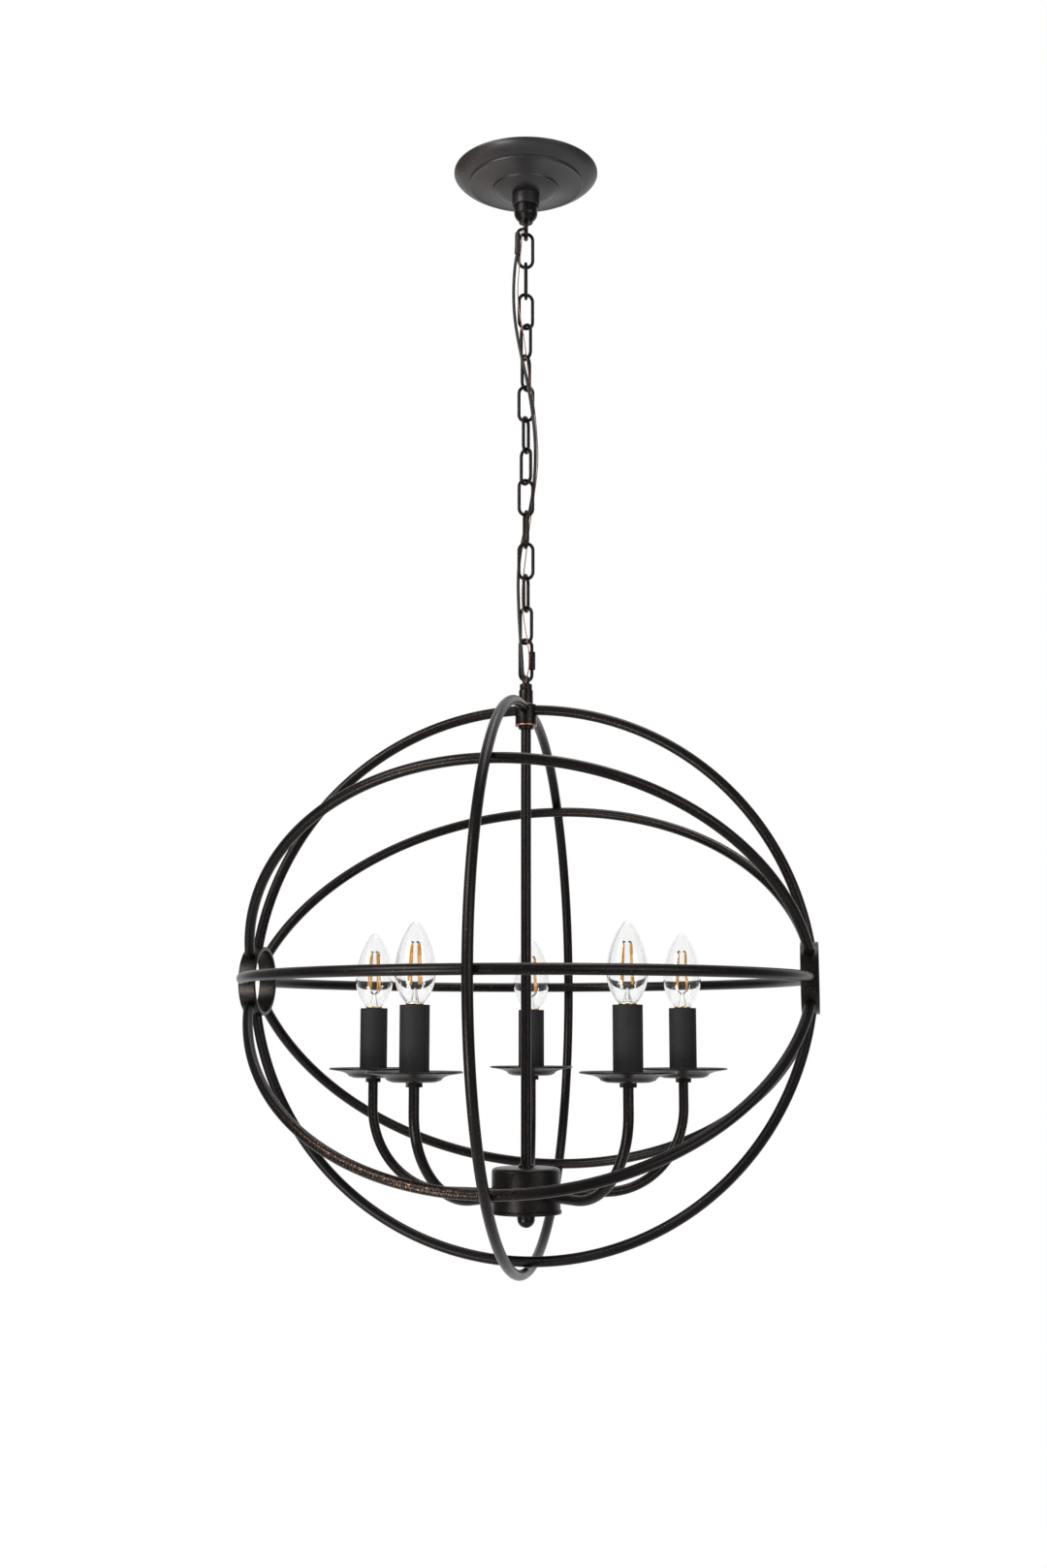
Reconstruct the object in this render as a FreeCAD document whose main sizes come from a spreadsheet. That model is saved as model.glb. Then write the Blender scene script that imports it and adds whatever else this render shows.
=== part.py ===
"""Orb chandelier with five candle lights, in millimetres.

Frame: the origin is on the ceiling, at the middle of the canopy. +Z points up, +X runs through
the two side hubs of the orb, and -Y is the front. A "drop" is a depth below the ceiling.
"""

import FreeCAD, Part
import math
import os
import re

import Sketcher

V = FreeCAD.Vector
X_AXIS, Y_AXIS, Z_AXIS = V(1, 0, 0), V(0, 1, 0), V(0, 0, 1)

doc = FreeCAD.newDocument("orb_chandelier")
sheet = doc.addObject("Spreadsheet::Sheet", "Sizes")

# ---------------------------------------------------------------- driving dimensions
SIZES = (
    # clearances
    ("running_gap", 0.3, "between pieces that move past each other"),
    ("thread_gap", 0.05, "round a thread or a pin, in radius"),
    ("weld_gap", 0.1, "root of a weld between a bar and what carries it"),
    # crossbar on the ceiling box
    ("crossbar_length", 105, "end to end"),
    ("crossbar_width", 20, "across"),
    ("crossbar_thick", 2, "strip thickness"),
    ("slot_spacing", 88.9, "between the centres of the two slots"),
    ("slot_length", 14, "end to end"),
    ("slot_width", 5, "across the slot"),
    ("ground_screw_offset", 24, "from the middle of the crossbar"),
    ("ground_screw_radius", 2, "thread"),
    ("ground_head_radius", 3.8, "pan head"),
    ("ground_head_height", 2.4, "pan head"),
    ("nipple_radius", 4.8, "threaded tube"),
    ("nipple_bore", 3.4, "way for the cord, in radius"),
    ("nipple_length", 22, "from the ceiling down"),
    ("nut_width", 12.5, "hexagon nut across the flats"),
    ("nut_height", 4, "hexagon nut"),
    # loop that the chain hangs from
    ("barrel_radius", 11.4, "threaded barrel of the ceiling loop"),
    ("barrel_top", 11, "drop of its upper end, inside the canopy"),
    ("barrel_bottom", 43, "drop where its neck starts"),
    ("neck_radius", 6.8, "foot of the neck"),
    ("neck_bottom", 52, "drop of the foot of the neck"),
    ("loop_bar", 4.4, "thickness of the eye"),
    ("loop_reach", 8.8, "radius of the eye's centreline"),
    # canopy and its screw ring
    ("canopy_radius", 70, "rim"),
    ("canopy_wall", 1.2, "spun steel"),
    ("canopy_lip", 2, "height of the upright rim"),
    ("canopy_depth", 23, "rim to the flat at the middle"),
    ("outer_bead_radius", 55, "first step of the dome"),
    ("outer_bead_drop", 11, "first step of the dome"),
    ("inner_bead_radius", 31.5, "second step of the dome"),
    ("inner_bead_drop", 16.5, "second step of the dome"),
    ("bead_rise", 1.6, "height of each step"),
    ("canopy_flat_radius", 15, "flat that the screw ring bears on"),
    ("ring_radius", 13.6, "screw ring"),
    ("ring_height", 12, "screw ring"),
    # chain
    ("chain_drop", 61.7, "drop of the first link's top"),
    ("link_length", 37.8, "outside"),
    ("link_width", 16.5, "outside"),
    ("link_bar", 3.2, "wire"),
    ("quick_link_length", 42.6, "outside"),
    ("quick_link_width", 15.3, "outside"),
    ("sleeve_nut_radius", 3.3, "nut on the quick link"),
    ("sleeve_nut_length", 17, "nut on the quick link"),
    ("quick_link_gap", 8, "opening that the nut closes"),
    # fixture loop and top hub
    ("eye_reach", 4.6, "radius of the fixture loop's centreline"),
    ("loop_body_radius", 5.8, "body of the fixture loop"),
    ("loop_body_top", 510.4, "drop"),
    ("coupling_top", 516, "drop"),
    ("coupling_radius", 6.6, "coupling under the fixture loop"),
    ("hub_top", 530, "drop"),
    ("hub_radius", 10, "top hub"),
    ("hub_height", 20, "top hub"),
    ("hub_neck_radius", 7, "lower neck of the top hub"),
    ("hub_neck_height", 3, "lower neck of the top hub"),
    # orb
    ("orb_drop", 785, "drop of the orb's centre"),
    ("bar_radius", 4.75, "round bar of the hoops and the ring"),
    ("hoop_reach", 259, "radius of a half hoop's centreline"),
    ("hoop_offset", 9, "how far its centre lies beyond the axis of the side hubs"),
    ("hoop_spacing", 45, "angle from one half hoop to the next"),
    ("side_hub_radius", 32, "outside"),
    ("side_hub_wall", 3.5, "tube wall"),
    ("side_hub_width", 16, "along the tube"),
    ("ring_clear", 0.2, "between the crossing ring and the hoops inside it"),
    ("ring_bend_start", 50, "angle above the horizontal where the ring starts to draw in"),
    ("ring_end_reach", 223, "radius of the ring's two end bends"),
    # down rod and cluster body
    ("rod_radius", 4.75, "down rod, a tube"),
    ("rod_bore", 3.2, "its bore, in radius"),
    ("rod_top", 532, "drop, inside the top hub"),
    ("rod_bottom", 999.5, "drop, inside the finial"),
    ("cup_top", 952.7, "drop"),
    ("cup_radius", 31, "outside"),
    ("cup_wall", 1.5, "spun steel"),
    ("cup_height", 37.3, "outside"),
    ("cup_shoulder", 4, "radius of the rounded shoulder"),
    ("rod_flange_radius", 7, "check ring round the rod"),
    ("rod_flange_height", 2.6, "check ring round the rod"),
    ("cover_radius", 32, "lip of the bottom cover"),
    ("cover_height", 3, "bottom cover"),
    ("cover_spigot", 4, "how far the cover reaches up into the cup"),
    ("finial_radius", 8, "finial"),
    ("finial_straight", 4.7, "straight part above the ball"),
    # arms
    ("arm_radius", 4.5, "arm tube"),
    ("arm_bore", 3, "bore of the arm tube"),
    ("arm_drop", 976, "drop where the arms leave the cup"),
    ("arm_bend", 75, "radius of the arm's bend"),
    ("arm_first_angle", 26, "angle of the first arm from +X"),
    ("arm_inner_end", 23.4, "distance of the inner end from the middle"),
    ("arm_nut_seat", 28.4, "distance of the nut's outer face from the middle"),
    ("arm_top", 868, "drop of the arm's upper end"),
    ("light_circle", 152, "radius of the circle of lights"),
    # lights
    ("pan_rim", 865, "drop of the pan's rim"),
    ("pan_radius", 41, "outside"),
    ("pan_wall", 1.2, "spun steel"),
    ("pan_flange_inner", 31, "inner edge of the flat flange"),
    ("pan_flange_fall", 2.2, "fall of the flange"),
    ("pan_step_fall", 4.6, "drop of the middle step below the rim"),
    ("pan_bowl_radius", 23.5, "lower bowl"),
    ("pan_depth", 9.5, "rim to the underside"),
    ("pan_foot_radius", 12, "flat underside"),
    ("candle_radius", 12.7, "candle sleeve"),
    ("candle_wall", 1, "candle sleeve"),
    ("candle_top", 810, "drop"),
    ("holder_radius", 9.2, "lampholder"),
    ("holder_top", 813, "drop"),
    ("holder_neck_radius", 6.4, "neck of the lampholder"),
    ("holder_neck_height", 20, "neck of the lampholder"),
    ("bulb_radius", 17.5, "glass"),
    ("bulb_length", 70, "glass, above the candle's top"),
    ("bulb_belly", 27, "height of the widest place"),
    ("bulb_tip_radius", 5, "rounded tip"),
    ("bulb_wall", 0.8, "glass"),
    ("bulb_neck_radius", 7.4, "glass at the cap"),
    ("cap_skirt_radius", 7.6, "collar of the screw cap"),
    ("cap_radius", 6.2, "screw cap"),
    ("cap_length", 20, "screw cap below the collar"),
    ("stem_radius", 3.4, "foot of the glass stem"),
    ("stem_height", 13, "glass stem"),
    ("filament_radius", 0.9, "filament stick"),
    ("filament_length", 34, "filament stick"),
    ("filament_foot", 17, "height of its lower end above the candle"),
    ("filament_circle", 5.6, "radius of the circle of filaments"),
    ("wire_radius", 0.4, "support wire"),
    # cord and ground wire beside the chain
    ("cord_radius", 1.5, "supply cord"),
    ("ground_wire_radius", 0.5, "bare ground wire"),
)

LINK_COUNT = 13
ARM_COUNT = 5
FILAMENT_COUNT = 4
# flats round a bar, and steps along its bends
BAR_FLATS = 8
LINK_STEPS = 8
EYE_STEPS = 16
ARM_STEPS = 8
HOOP_STEPS = 32
# flats round the turned pieces that repeat at each light, and the turn of each step along their arcs
CANOPY_FLATS = 60
CUP_FLATS = 36
LIGHT_FLATS = 24
SMALL_FLATS = 12
ARC_STEP = 20
# angle of each link's flat side from +X, as the chain hangs twisted in the photograph
LINK_TURNS = (10, 98, 24, -38, 68, 6, 79, -38, 24, -66, 6, 82, -28)
LOOP_TURN = 100
QUICK_LINK_TURN = 34
# routes beside the chain, from the bore of the ceiling loop to the top of the fixture loop's body
CORD_ROUTE = (
    (0, 0, -52.35), (0, 0, -57.2), (-9.4, -3.1, -60.8), (-9.6, -2.8, -77), (-10.8, -2.5, -98),
    (-11.8, -3.6, -125.5), (-9.7, -6.5, -155), (-4, -9.8, -185.6), (2.6, -9.2, -215), (7.8, -5, -249),
    (9.5, 1.1, -283), (6.8, 6.6, -315), (1, 10.1, -345), (-6.2, 9.1, -373), (-8.4, 4, -402),
    (-6.8, -2.1, -434), (-4.5, -6.3, -464), (-2.3, -8.5, -487), (-1.3, -11.5, -501.5),
    (-0.8, -4.4, -504.9), (-0.8, -4.4, -510.4),
)
WIRE_ROUTE = (
    (0.4, -2.3, -52.75), (0.4, -2.3, -55.5), (-6.5, -4.9, -59.5), (-7.9, -4.4, -77),
    (-7.6, -3.9, -98), (-7.6, -4.9, -125.5), (-5.1, -5.4, -148), (-0.6, -5.5, -172),
    (3, -4.9, -205), (8.7, -2.4, -240), (10.7, 0.6, -268), (11.4, 4.1, -295),
    (6.4, 5.7, -330), (1.6, 6.7, -360), (-2.1, 5, -395), (-4.7, 0.7, -424),
    (-1.2, -3.3, -452), (3.8, -5, -478), (4.2, -7.3, -498), (1.1, -5.7, -506),
    (1.1, -5.7, -510.4),
)
# share of the shorter run that an arc takes at each corner of a route
ARC_SHARE = 0.45

aliases = set()


def set_size(alias, value, meaning):
    """Write one driving dimension into the sheet."""
    row = len(aliases) + 1
    sheet.set(f"A{row}", alias)
    sheet.set(f"B{row}", str(value))
    sheet.set(f"C{row}", meaning)
    sheet.setAlias(f"B{row}", alias)
    aliases.add(alias)


for size in SIZES:
    set_size(*size)
for index, angle in enumerate(LINK_TURNS, 1):
    set_size(f"turn_of_link_{index:02d}", angle, "angle of the link's flat side from +X")
set_size("turn_of_loop", LOOP_TURN, "angle of the ceiling loop's flat side from +X")
set_size("turn_of_quick_link", QUICK_LINK_TURN, "angle of the quick link's flat side from +X")
doc.recompute()

# lengths that follow from the driving ones, as formulas of the sheet
ORB_REACH = "(hoop_reach - hoop_offset)"
RING_REACH = f"({ORB_REACH} + 2 * bar_radius + ring_clear)"
LINK_PITCH = "(link_length - 2 * link_bar - running_gap)"
QUICK_LINK_DROP = f"(chain_drop + {LINK_COUNT} * {LINK_PITCH})"
EYE_DROP = f"({QUICK_LINK_DROP} + quick_link_length - link_bar - running_gap + eye_reach - link_bar / 2)"
LOOP_DROP = "(chain_drop + link_bar + running_gap + loop_bar / 2 - loop_reach)"
CUP_BOTTOM = "(cup_top + cup_height)"
FINIAL_TOP = f"({CUP_BOTTOM} + cover_height)"
SIDE_HUB_PLACE = "sqrt(hoop_reach ^ 2 - (side_hub_radius + hoop_offset) ^ 2)"


# ---------------------------------------------------------------- modelling helpers
def cells(formula):
    """A formula of plain size names, as the sheet's cells."""
    return re.sub(r"[a-z_][a-z_0-9]*", lambda m: "Sizes." + m[0] if m[0] in aliases else m[0], formula)


def measure(formula):
    """The present value of a formula, in millimetres or degrees."""
    return float(sheet.evalExpression(cells(formula)))


def bind(thing, path, formula):
    thing.setExpression(path, cells(formula))


def put(piece, at=("0", "0", "0"), turn=FreeCAD.Rotation(), spin=None):
    """Place a piece. spin is an axis and the formula of the angle about it."""
    if spin:
        turn = FreeCAD.Rotation(spin[0], 1)
    piece.Placement = FreeCAD.Placement(V(), turn)
    for axis, formula in zip("xyz", at):
        if formula != "0":
            bind(piece, "Placement.Base." + axis, formula)
    if spin:
        bind(piece, "Placement.Rotation.Angle", spin[1])
    return piece


def primitive(kind, name, at=("0", "0", "0"), turn=FreeCAD.Rotation(), spin=None, **sizes):
    """A Part primitive whose sizes are formulas."""
    piece = doc.addObject("Part::" + kind, name)
    for size, formula in sizes.items():
        bind(piece, size, formula)
    return put(piece, at, turn, spin)


def fuse(name, *pieces):
    whole = doc.addObject("Part::MultiFuse", name)
    whole.Shapes = list(pieces)
    return whole


def cut(name, base, *tools):
    rest = doc.addObject("Part::Cut", name)
    rest.Base = base
    rest.Tool = tools[0] if len(tools) == 1 else fuse(name + "_tools", *tools)
    return rest


def group(name, *pieces):
    """Separate solids that share one node."""
    together = doc.addObject("Part::Compound", name)
    together.Links = list(pieces)
    return together


def copy_of(master, name, at=("0", "0", "0"), turn=FreeCAD.Rotation(), spin=None):
    """A linked copy of a master piece, at its own place."""
    twin = doc.addObject("App::Link", name)
    twin.LinkedObject = master
    twin.LinkTransform = False
    return put(twin, at, turn, spin)


def origin_plane(body, role):
    return next(f for f in body.Origin.OriginFeatures if f.Role == role)


def arc_between(start, end, radius, side):
    """Centre, lower and upper angle of an arc, its centre left (1) or right (-1) of the way."""
    way = end - start
    height = math.sqrt(radius**2 - (way.Length / 2) ** 2)
    left = V(-way.y, way.x, 0).normalize()
    centre = (start + end) / 2 + left * side * height
    first, last = (start, end) if side > 0 else (end, start)
    low = math.atan2(first.y - centre.y, first.x - centre.x)
    high = math.atan2(last.y - centre.y, last.x - centre.x)
    return centre, low, high if high > low else high + 2 * math.pi


def draw(sketch, outline, closed=True):
    """An outline in a sketch, every corner held by two dimensions.

    Each corner is (across, up) or (across, up, radius, side): the edge that ends there is then
    an arc of that radius, with its centre on the left (side 1) or the right (side -1) of the way.
    """
    spots = [V(measure(c[0]), measure(c[1]), 0) for c in outline]
    count = len(outline)
    edges = count if closed else count - 1
    lines, ends, rules = [], [], []
    for n in range(edges):
        start, end, corner = spots[n], spots[(n + 1) % count], outline[(n + 1) % count]
        if len(corner) == 2:
            lines.append(Part.LineSegment(start, end))
            ends.append((1, 2))
            continue
        radius, side = measure(corner[2]), corner[3]
        centre, low, high = arc_between(start, end, radius, side)
        lines.append(Part.ArcOfCircle(Part.Circle(centre, Z_AXIS, radius), low, high))
        ends.append((1, 2) if side > 0 else (2, 1))
        rules.append((Sketcher.Constraint("Radius", n, radius), corner[2]))
    for n in range(edges if closed else edges - 1):
        after = (n + 1) % count
        rules.append((Sketcher.Constraint("Coincident", n, ends[n][1], after, ends[after][0]), None))
    for n, corner in enumerate(outline):
        edge, vertex = (n, ends[n][0]) if n < edges else (n - 1, ends[n - 1][1])
        for kind, axis, formula, place in (
            ("DistanceX", -2, corner[0], spots[n].x), ("DistanceY", -1, corner[1], spots[n].y),
        ):
            if formula == "0":
                rules.append((Sketcher.Constraint("PointOnObject", edge, vertex, axis), None))
            else:
                rules.append((Sketcher.Constraint(kind, -1, 1, edge, vertex, place), formula))
    sketch.addGeometry(lines, False)
    sketch.addConstraint([rule for rule, _ in rules])
    for number, (_, formula) in enumerate(rules):
        if formula:
            bind(sketch, f"Constraints[{number}]", formula)


def turned(name, outline, at=("0", "0", "0"), turn=FreeCAD.Rotation()):
    """A piece turned about its own Z axis from half of its section."""
    body = doc.addObject("PartDesign::Body", name)
    sketch = body.newObject("Sketcher::SketchObject", name + "_section")
    sketch.AttachmentSupport = [(origin_plane(body, "XZ_Plane"), "")]
    sketch.MapMode = "FlatFace"
    draw(sketch, outline)
    whirl = body.newObject("PartDesign::Revolution", name + "_turn")
    whirl.Profile = sketch
    whirl.ReferenceAxis = (sketch, ["V_Axis"])
    whirl.Angle = 360
    return put(body, at, turn)


def flat_points(outline):
    """The corners of a closed outline, its arcs in short straight steps, counterclockwise."""
    spots = [V(measure(c[0]), measure(c[1]), 0) for c in outline]
    points = []
    for n, corner in enumerate(outline):
        if len(corner) == 4:
            side = corner[3]
            centre, low, high = arc_between(spots[n - 1], spots[n], measure(corner[2]), side)
            steps = max(1, round(math.degrees(high - low) / ARC_STEP))
            for step in range(1, steps):
                share = step / steps if side > 0 else 1 - step / steps
                angle = low + (high - low) * share
                points.append(centre + V(math.cos(angle), math.sin(angle), 0) * measure(corner[2]))
        points.append(spots[n])
    area = sum(a.x * b.y - b.x * a.y for a, b in zip(points, points[1:] + points[:1]))
    return points if area > 0 else points[::-1]


def faceted(name, outline, flats=LIGHT_FLATS):
    """A turned piece with flats round it, light enough to stand at every arm."""
    round_steps = [2 * math.pi * n / flats for n in range(flats)]
    points = flat_points(outline)
    faces = []
    for low, high in zip(points, points[1:] + points[:1]):
        for left, right in zip(round_steps, round_steps[1:] + round_steps[:1]):
            corners = [
                V(point.x * math.cos(angle), point.x * math.sin(angle), point.y)
                for point, angle in ((low, left), (low, right), (high, right), (high, left))
            ]
            corners = [c for n, c in enumerate(corners) if (c - corners[n - 1]).Length > 1e-6]
            if len(corners) > 2:
                faces.append(Part.Face(Part.makePolygon([*corners, corners[0]])))
    piece = doc.addObject("Part::Feature", name)
    piece.Shape = Part.makeSolid(Part.makeShell(faces))
    return piece


def on_arc(middle, reach, start, sweep, steps):
    """Points in even steps along an arc. middle is (across, up), angles are in degrees."""
    spots = []
    for step in range(steps + 1):
        angle = f"(({start}) + ({sweep}) * {step} / {steps}) * 1deg"
        spots.append((f"{middle[0]} + {reach} * cos({angle})", f"{middle[1]} + {reach} * sin({angle})"))
    return spots


def bent_bar(name, points, radius, closed=False):
    """A bar along points in the XZ plane, mitred at each. A closed one starts inside a straight run."""
    way = doc.addObject("Sketcher::SketchObject", name + "_way")
    way.Placement = FreeCAD.Placement(V(), FreeCAD.Rotation(X_AXIS, 90))
    draw(way, points, closed)
    first, second = (V(measure(p[0]), 0, measure(p[1])) for p in points[:2])
    section = doc.addObject("Part::RegularPolygon", name + "_section")
    section.Polygon = BAR_FLATS
    bind(section, "Circumradius", radius)
    put(section, (points[0][0], "0", points[0][1]), FreeCAD.Rotation(Z_AXIS, second - first))
    bar = doc.addObject("Part::Sweep", name)
    bar.Sections = [section]
    bar.Spine = (way, [f"Edge{n + 1}" for n in range(len(points) if closed else len(points) - 1)])
    bar.Solid = True
    bar.Transition = "Right corner"
    return bar


def eye_ring(name, drop, reach, radius):
    """A closed ring in the XZ plane, its middle at a drop."""
    half = f"(180 / {EYE_STEPS})"
    top = ("0", f"-{drop} + {reach} * cos({half} * 1deg)")
    points = on_arc(("0", f"-{drop}"), reach, f"90 + {half}", f"360 - 2 * {half}", EYE_STEPS - 1)
    return bent_bar(name, [top, *points], radius, closed=True)


def tube(name, outer, inner, top, height):
    """An upright tube on the axis, from a drop downwards."""
    shell = primitive("Cylinder", name + "_outside", Radius=outer, Height=height)
    hole = primitive("Cylinder", name + "_bore", Radius=inner, Height=height)
    return put(cut(name, shell, hole), ("0", "0", f"-{top} - {height}"))


nodes = []


def node(piece, name):
    piece.Label = name
    nodes.append(piece)
    return piece


# ---------------------------------------------------------------- nuts and ceiling hardware
def hexagon_nut(name, bore):
    """A plain nut, its lower face at its origin."""
    block = doc.addObject("Part::Prism", name + "_block")
    block.Polygon = 6
    bind(block, "Circumradius", "nut_width / sqrt(3)")
    bind(block, "Height", "nut_height")
    hole = primitive("Cylinder", name + "_hole", Radius=bore, Height="nut_height")
    return cut(name, block, hole)


def crossbar():
    """The slotted strip that screws to the ceiling box."""
    strip = primitive(
        "Box", "crossbar_strip", ("-crossbar_length / 2", "-crossbar_width / 2", "-crossbar_thick"),
        Length="crossbar_length", Width="crossbar_width", Height="crossbar_thick",
    )
    holes = []
    for side in (-1, 1):
        for end in (-1, 1):
            place = f"{side} * slot_spacing / 2 + {end} * (slot_length - slot_width) / 2"
            holes.append(primitive(
                "Cylinder", "slot_end", (place, "0", "-crossbar_thick"),
                Radius="slot_width / 2", Height="crossbar_thick",
            ))
        holes.append(primitive(
            "Box", "slot_middle",
            (f"{side} * slot_spacing / 2 - (slot_length - slot_width) / 2", "-slot_width / 2",
             "-crossbar_thick"),
            Length="slot_length - slot_width", Width="slot_width", Height="crossbar_thick",
        ))
    holes.append(primitive(
        "Cylinder", "nipple_hole", ("0", "0", "-crossbar_thick"),
        Radius="nipple_radius + thread_gap", Height="crossbar_thick",
    ))
    holes.append(primitive(
        "Cylinder", "ground_hole", ("-ground_screw_offset", "0", "-crossbar_thick"),
        Radius="ground_screw_radius + thread_gap", Height="crossbar_thick",
    ))
    return cut("crossbar", strip, *holes)


def ground_screw():
    """Pan head under the crossbar, thread in its tapped hole."""
    head = "ground_head_radius"
    low = "-crossbar_thick - ground_head_height"
    return turned("ground_screw", [
        ("0", "0"), ("0", low), (f"{head} * 0.6", low),
        (head, "-crossbar_thick - ground_head_height / 2", f"{head} * 0.7", 1),
        (head, "-crossbar_thick"), ("ground_screw_radius", "-crossbar_thick"),
        ("ground_screw_radius", "0"),
    ], ("-ground_screw_offset", "0", "0"))


def ceiling_loop():
    """Threaded barrel, neck and eye in one casting, bored for the nipple and the cord."""
    socket = "nipple_radius + thread_gap"
    barrel = turned("loop_barrel", [
        (socket, "-barrel_top"), (socket, "-nipple_length - thread_gap"),
        ("nipple_bore", "-nipple_length - thread_gap"), ("nipple_bore", "-neck_bottom"),
        ("neck_radius", "-neck_bottom"), ("neck_radius", "-neck_bottom + 2"),
        ("barrel_radius", "-barrel_bottom", "11", -1), ("barrel_radius", "-barrel_top"),
    ])
    eye = eye_ring("loop_eye", LOOP_DROP, "loop_reach", "loop_bar / 2")
    way = primitive(
        "Cylinder", "loop_way", ("0", "0", "-neck_bottom"), Radius="nipple_bore", Height="neck_bottom - barrel_top",
    )
    return put(fuse("ceiling_loop", barrel, cut("loop_eye_bored", eye, way)), spin=(Z_AXIS, "turn_of_loop"))


node(crossbar(), "crossbar")
node(tube("mounting_nipple", "nipple_radius", "nipple_bore", "0", "nipple_length"), "mounting_nipple")
ceiling_nut = hexagon_nut("ceiling_nut", "nipple_radius + thread_gap")
node(group(
    "nipple_nuts",
    copy_of(ceiling_nut, "upper_nut", ("0", "0", "-crossbar_thick - nut_height")),
    copy_of(ceiling_nut, "lower_nut", ("0", "0", "-barrel_top")),
), "nipple_nuts")
node(ground_screw(), "ground_screw")
node(ceiling_loop(), "ceiling_loop")


# ---------------------------------------------------------------- canopy
def canopy():
    """Stepped shallow dome spun from sheet, open at the ceiling."""
    steps = [
        ("canopy_radius", "0"),
        ("canopy_radius", "-canopy_lip"),
        ("outer_bead_radius", "-outer_bead_drop", "22", -1),
        ("outer_bead_radius", "-outer_bead_drop - bead_rise"),
        ("inner_bead_radius", "-inner_bead_drop", "90", 1),
        ("inner_bead_radius", "-inner_bead_drop - bead_rise"),
        ("canopy_flat_radius", "-canopy_depth", "26", -1),
    ]
    hole = "barrel_radius + running_gap"
    outline = [steps[0], steps[1], *steps[2:], (hole, "-canopy_depth"), (hole, "-canopy_depth + canopy_wall")]
    previous = None
    for corner in reversed(steps):
        back = (f"{corner[0]} - canopy_wall", f"{corner[1]} + canopy_wall" if corner[1] != "0" else "0")
        if previous and len(previous) == 4:
            back = (*back, previous[2], -previous[3])
        outline.append(back)
        previous = corner
    return faceted("canopy", outline, CANOPY_FLATS)


def canopy_ring():
    """Knurled ring that screws up the barrel and holds the canopy to the ceiling."""
    bore, top = "barrel_radius + running_gap", "-canopy_depth"
    low = "-canopy_depth - ring_height"
    return turned("canopy_ring", [
        (bore, top), (bore, low), ("ring_radius - 1", low), ("ring_radius", f"{low} + 1"),
        ("ring_radius", f"{low} + 4"), ("ring_radius - 0.6", f"{low} + 4"),
        ("ring_radius - 0.6", f"{low} + 5"), ("ring_radius", f"{low} + 5"),
        ("ring_radius", f"{top} - 1"), ("ring_radius - 1", top),
    ])


node(canopy(), "canopy")
node(canopy_ring(), "canopy_ring")


# ---------------------------------------------------------------- chain
def oval(name, length, width, bar, gap=None):
    """An oval link in the XZ plane, its top at the origin. A gap opens its right leg."""
    reach = f"(({width} - {bar}) / 2)"
    foot = f"-{length} + {width} / 2"
    middle = (reach, f"-{length} / 2")
    round_way = (
        on_arc(("0", f"-{width} / 2"), reach, 0, 180, LINK_STEPS)
        + on_arc(("0", foot), reach, 180, 180, LINK_STEPS)
    )
    if gap is None:
        return bent_bar(name, [middle, *round_way], f"{bar} / 2", closed=True)
    upper, lower = (reach, f"{middle[1]} + {gap} / 2"), (reach, f"{middle[1]} - {gap} / 2")
    return bent_bar(name, [upper, *round_way, lower], f"{bar} / 2")


chain_link = oval("chain_link", "link_length", "link_width", "link_bar")
for index in range(1, LINK_COUNT + 1):
    drop = f"-chain_drop - {index - 1} * {LINK_PITCH}"
    name = f"link_{index:02d}"
    node(copy_of(chain_link, name, ("0", "0", drop), spin=(Z_AXIS, f"turn_of_{name}")), name)

quick_link = oval("quick_link", "quick_link_length", "quick_link_width", "link_bar", "quick_link_gap")
put(quick_link, ("0", "0", f"-{QUICK_LINK_DROP}"), spin=(Z_AXIS, "turn_of_quick_link"))
node(quick_link, "quick_link")


def sleeve_nut():
    """Long nut that closes the quick link's gap."""
    bore, half = "link_bar / 2 + thread_gap", "sleeve_nut_length / 2"
    return turned("sleeve_nut", [
        (bore, f"-{half}"), ("sleeve_nut_radius - 0.8", f"-{half}"), ("sleeve_nut_radius", f"-{half} + 1.2"),
        ("sleeve_nut_radius", f"{half} - 1.2"), ("sleeve_nut_radius - 0.8", half), (bore, half),
    ])


sleeve_reach = "(quick_link_width - link_bar) / 2"
quick_link_nut = copy_of(
    sleeve_nut(), "quick_link_nut",
    (f"{sleeve_reach} * cos(turn_of_quick_link * 1deg)", f"{sleeve_reach} * sin(turn_of_quick_link * 1deg)",
     f"-{QUICK_LINK_DROP} - quick_link_length / 2"),
)
node(quick_link_nut, "quick_link_nut")


# ---------------------------------------------------------------- fixture loop, coupling and top hub
def fixture_loop():
    """Eye on a short round body, square to the quick link."""
    eye = eye_ring("fixture_eye", EYE_DROP, "eye_reach", "link_bar / 2")
    put(eye, turn=FreeCAD.Rotation(Z_AXIS, 90))
    body = turned("fixture_loop_body", [
        ("0", "-coupling_top"), ("loop_body_radius", "-coupling_top"),
        ("loop_body_radius", "-loop_body_top - 1"), ("loop_body_radius - 1", "-loop_body_top"),
        ("0", "-loop_body_top"),
    ])
    return put(fuse("fixture_loop", eye, body), spin=(Z_AXIS, "turn_of_quick_link"))


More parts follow.
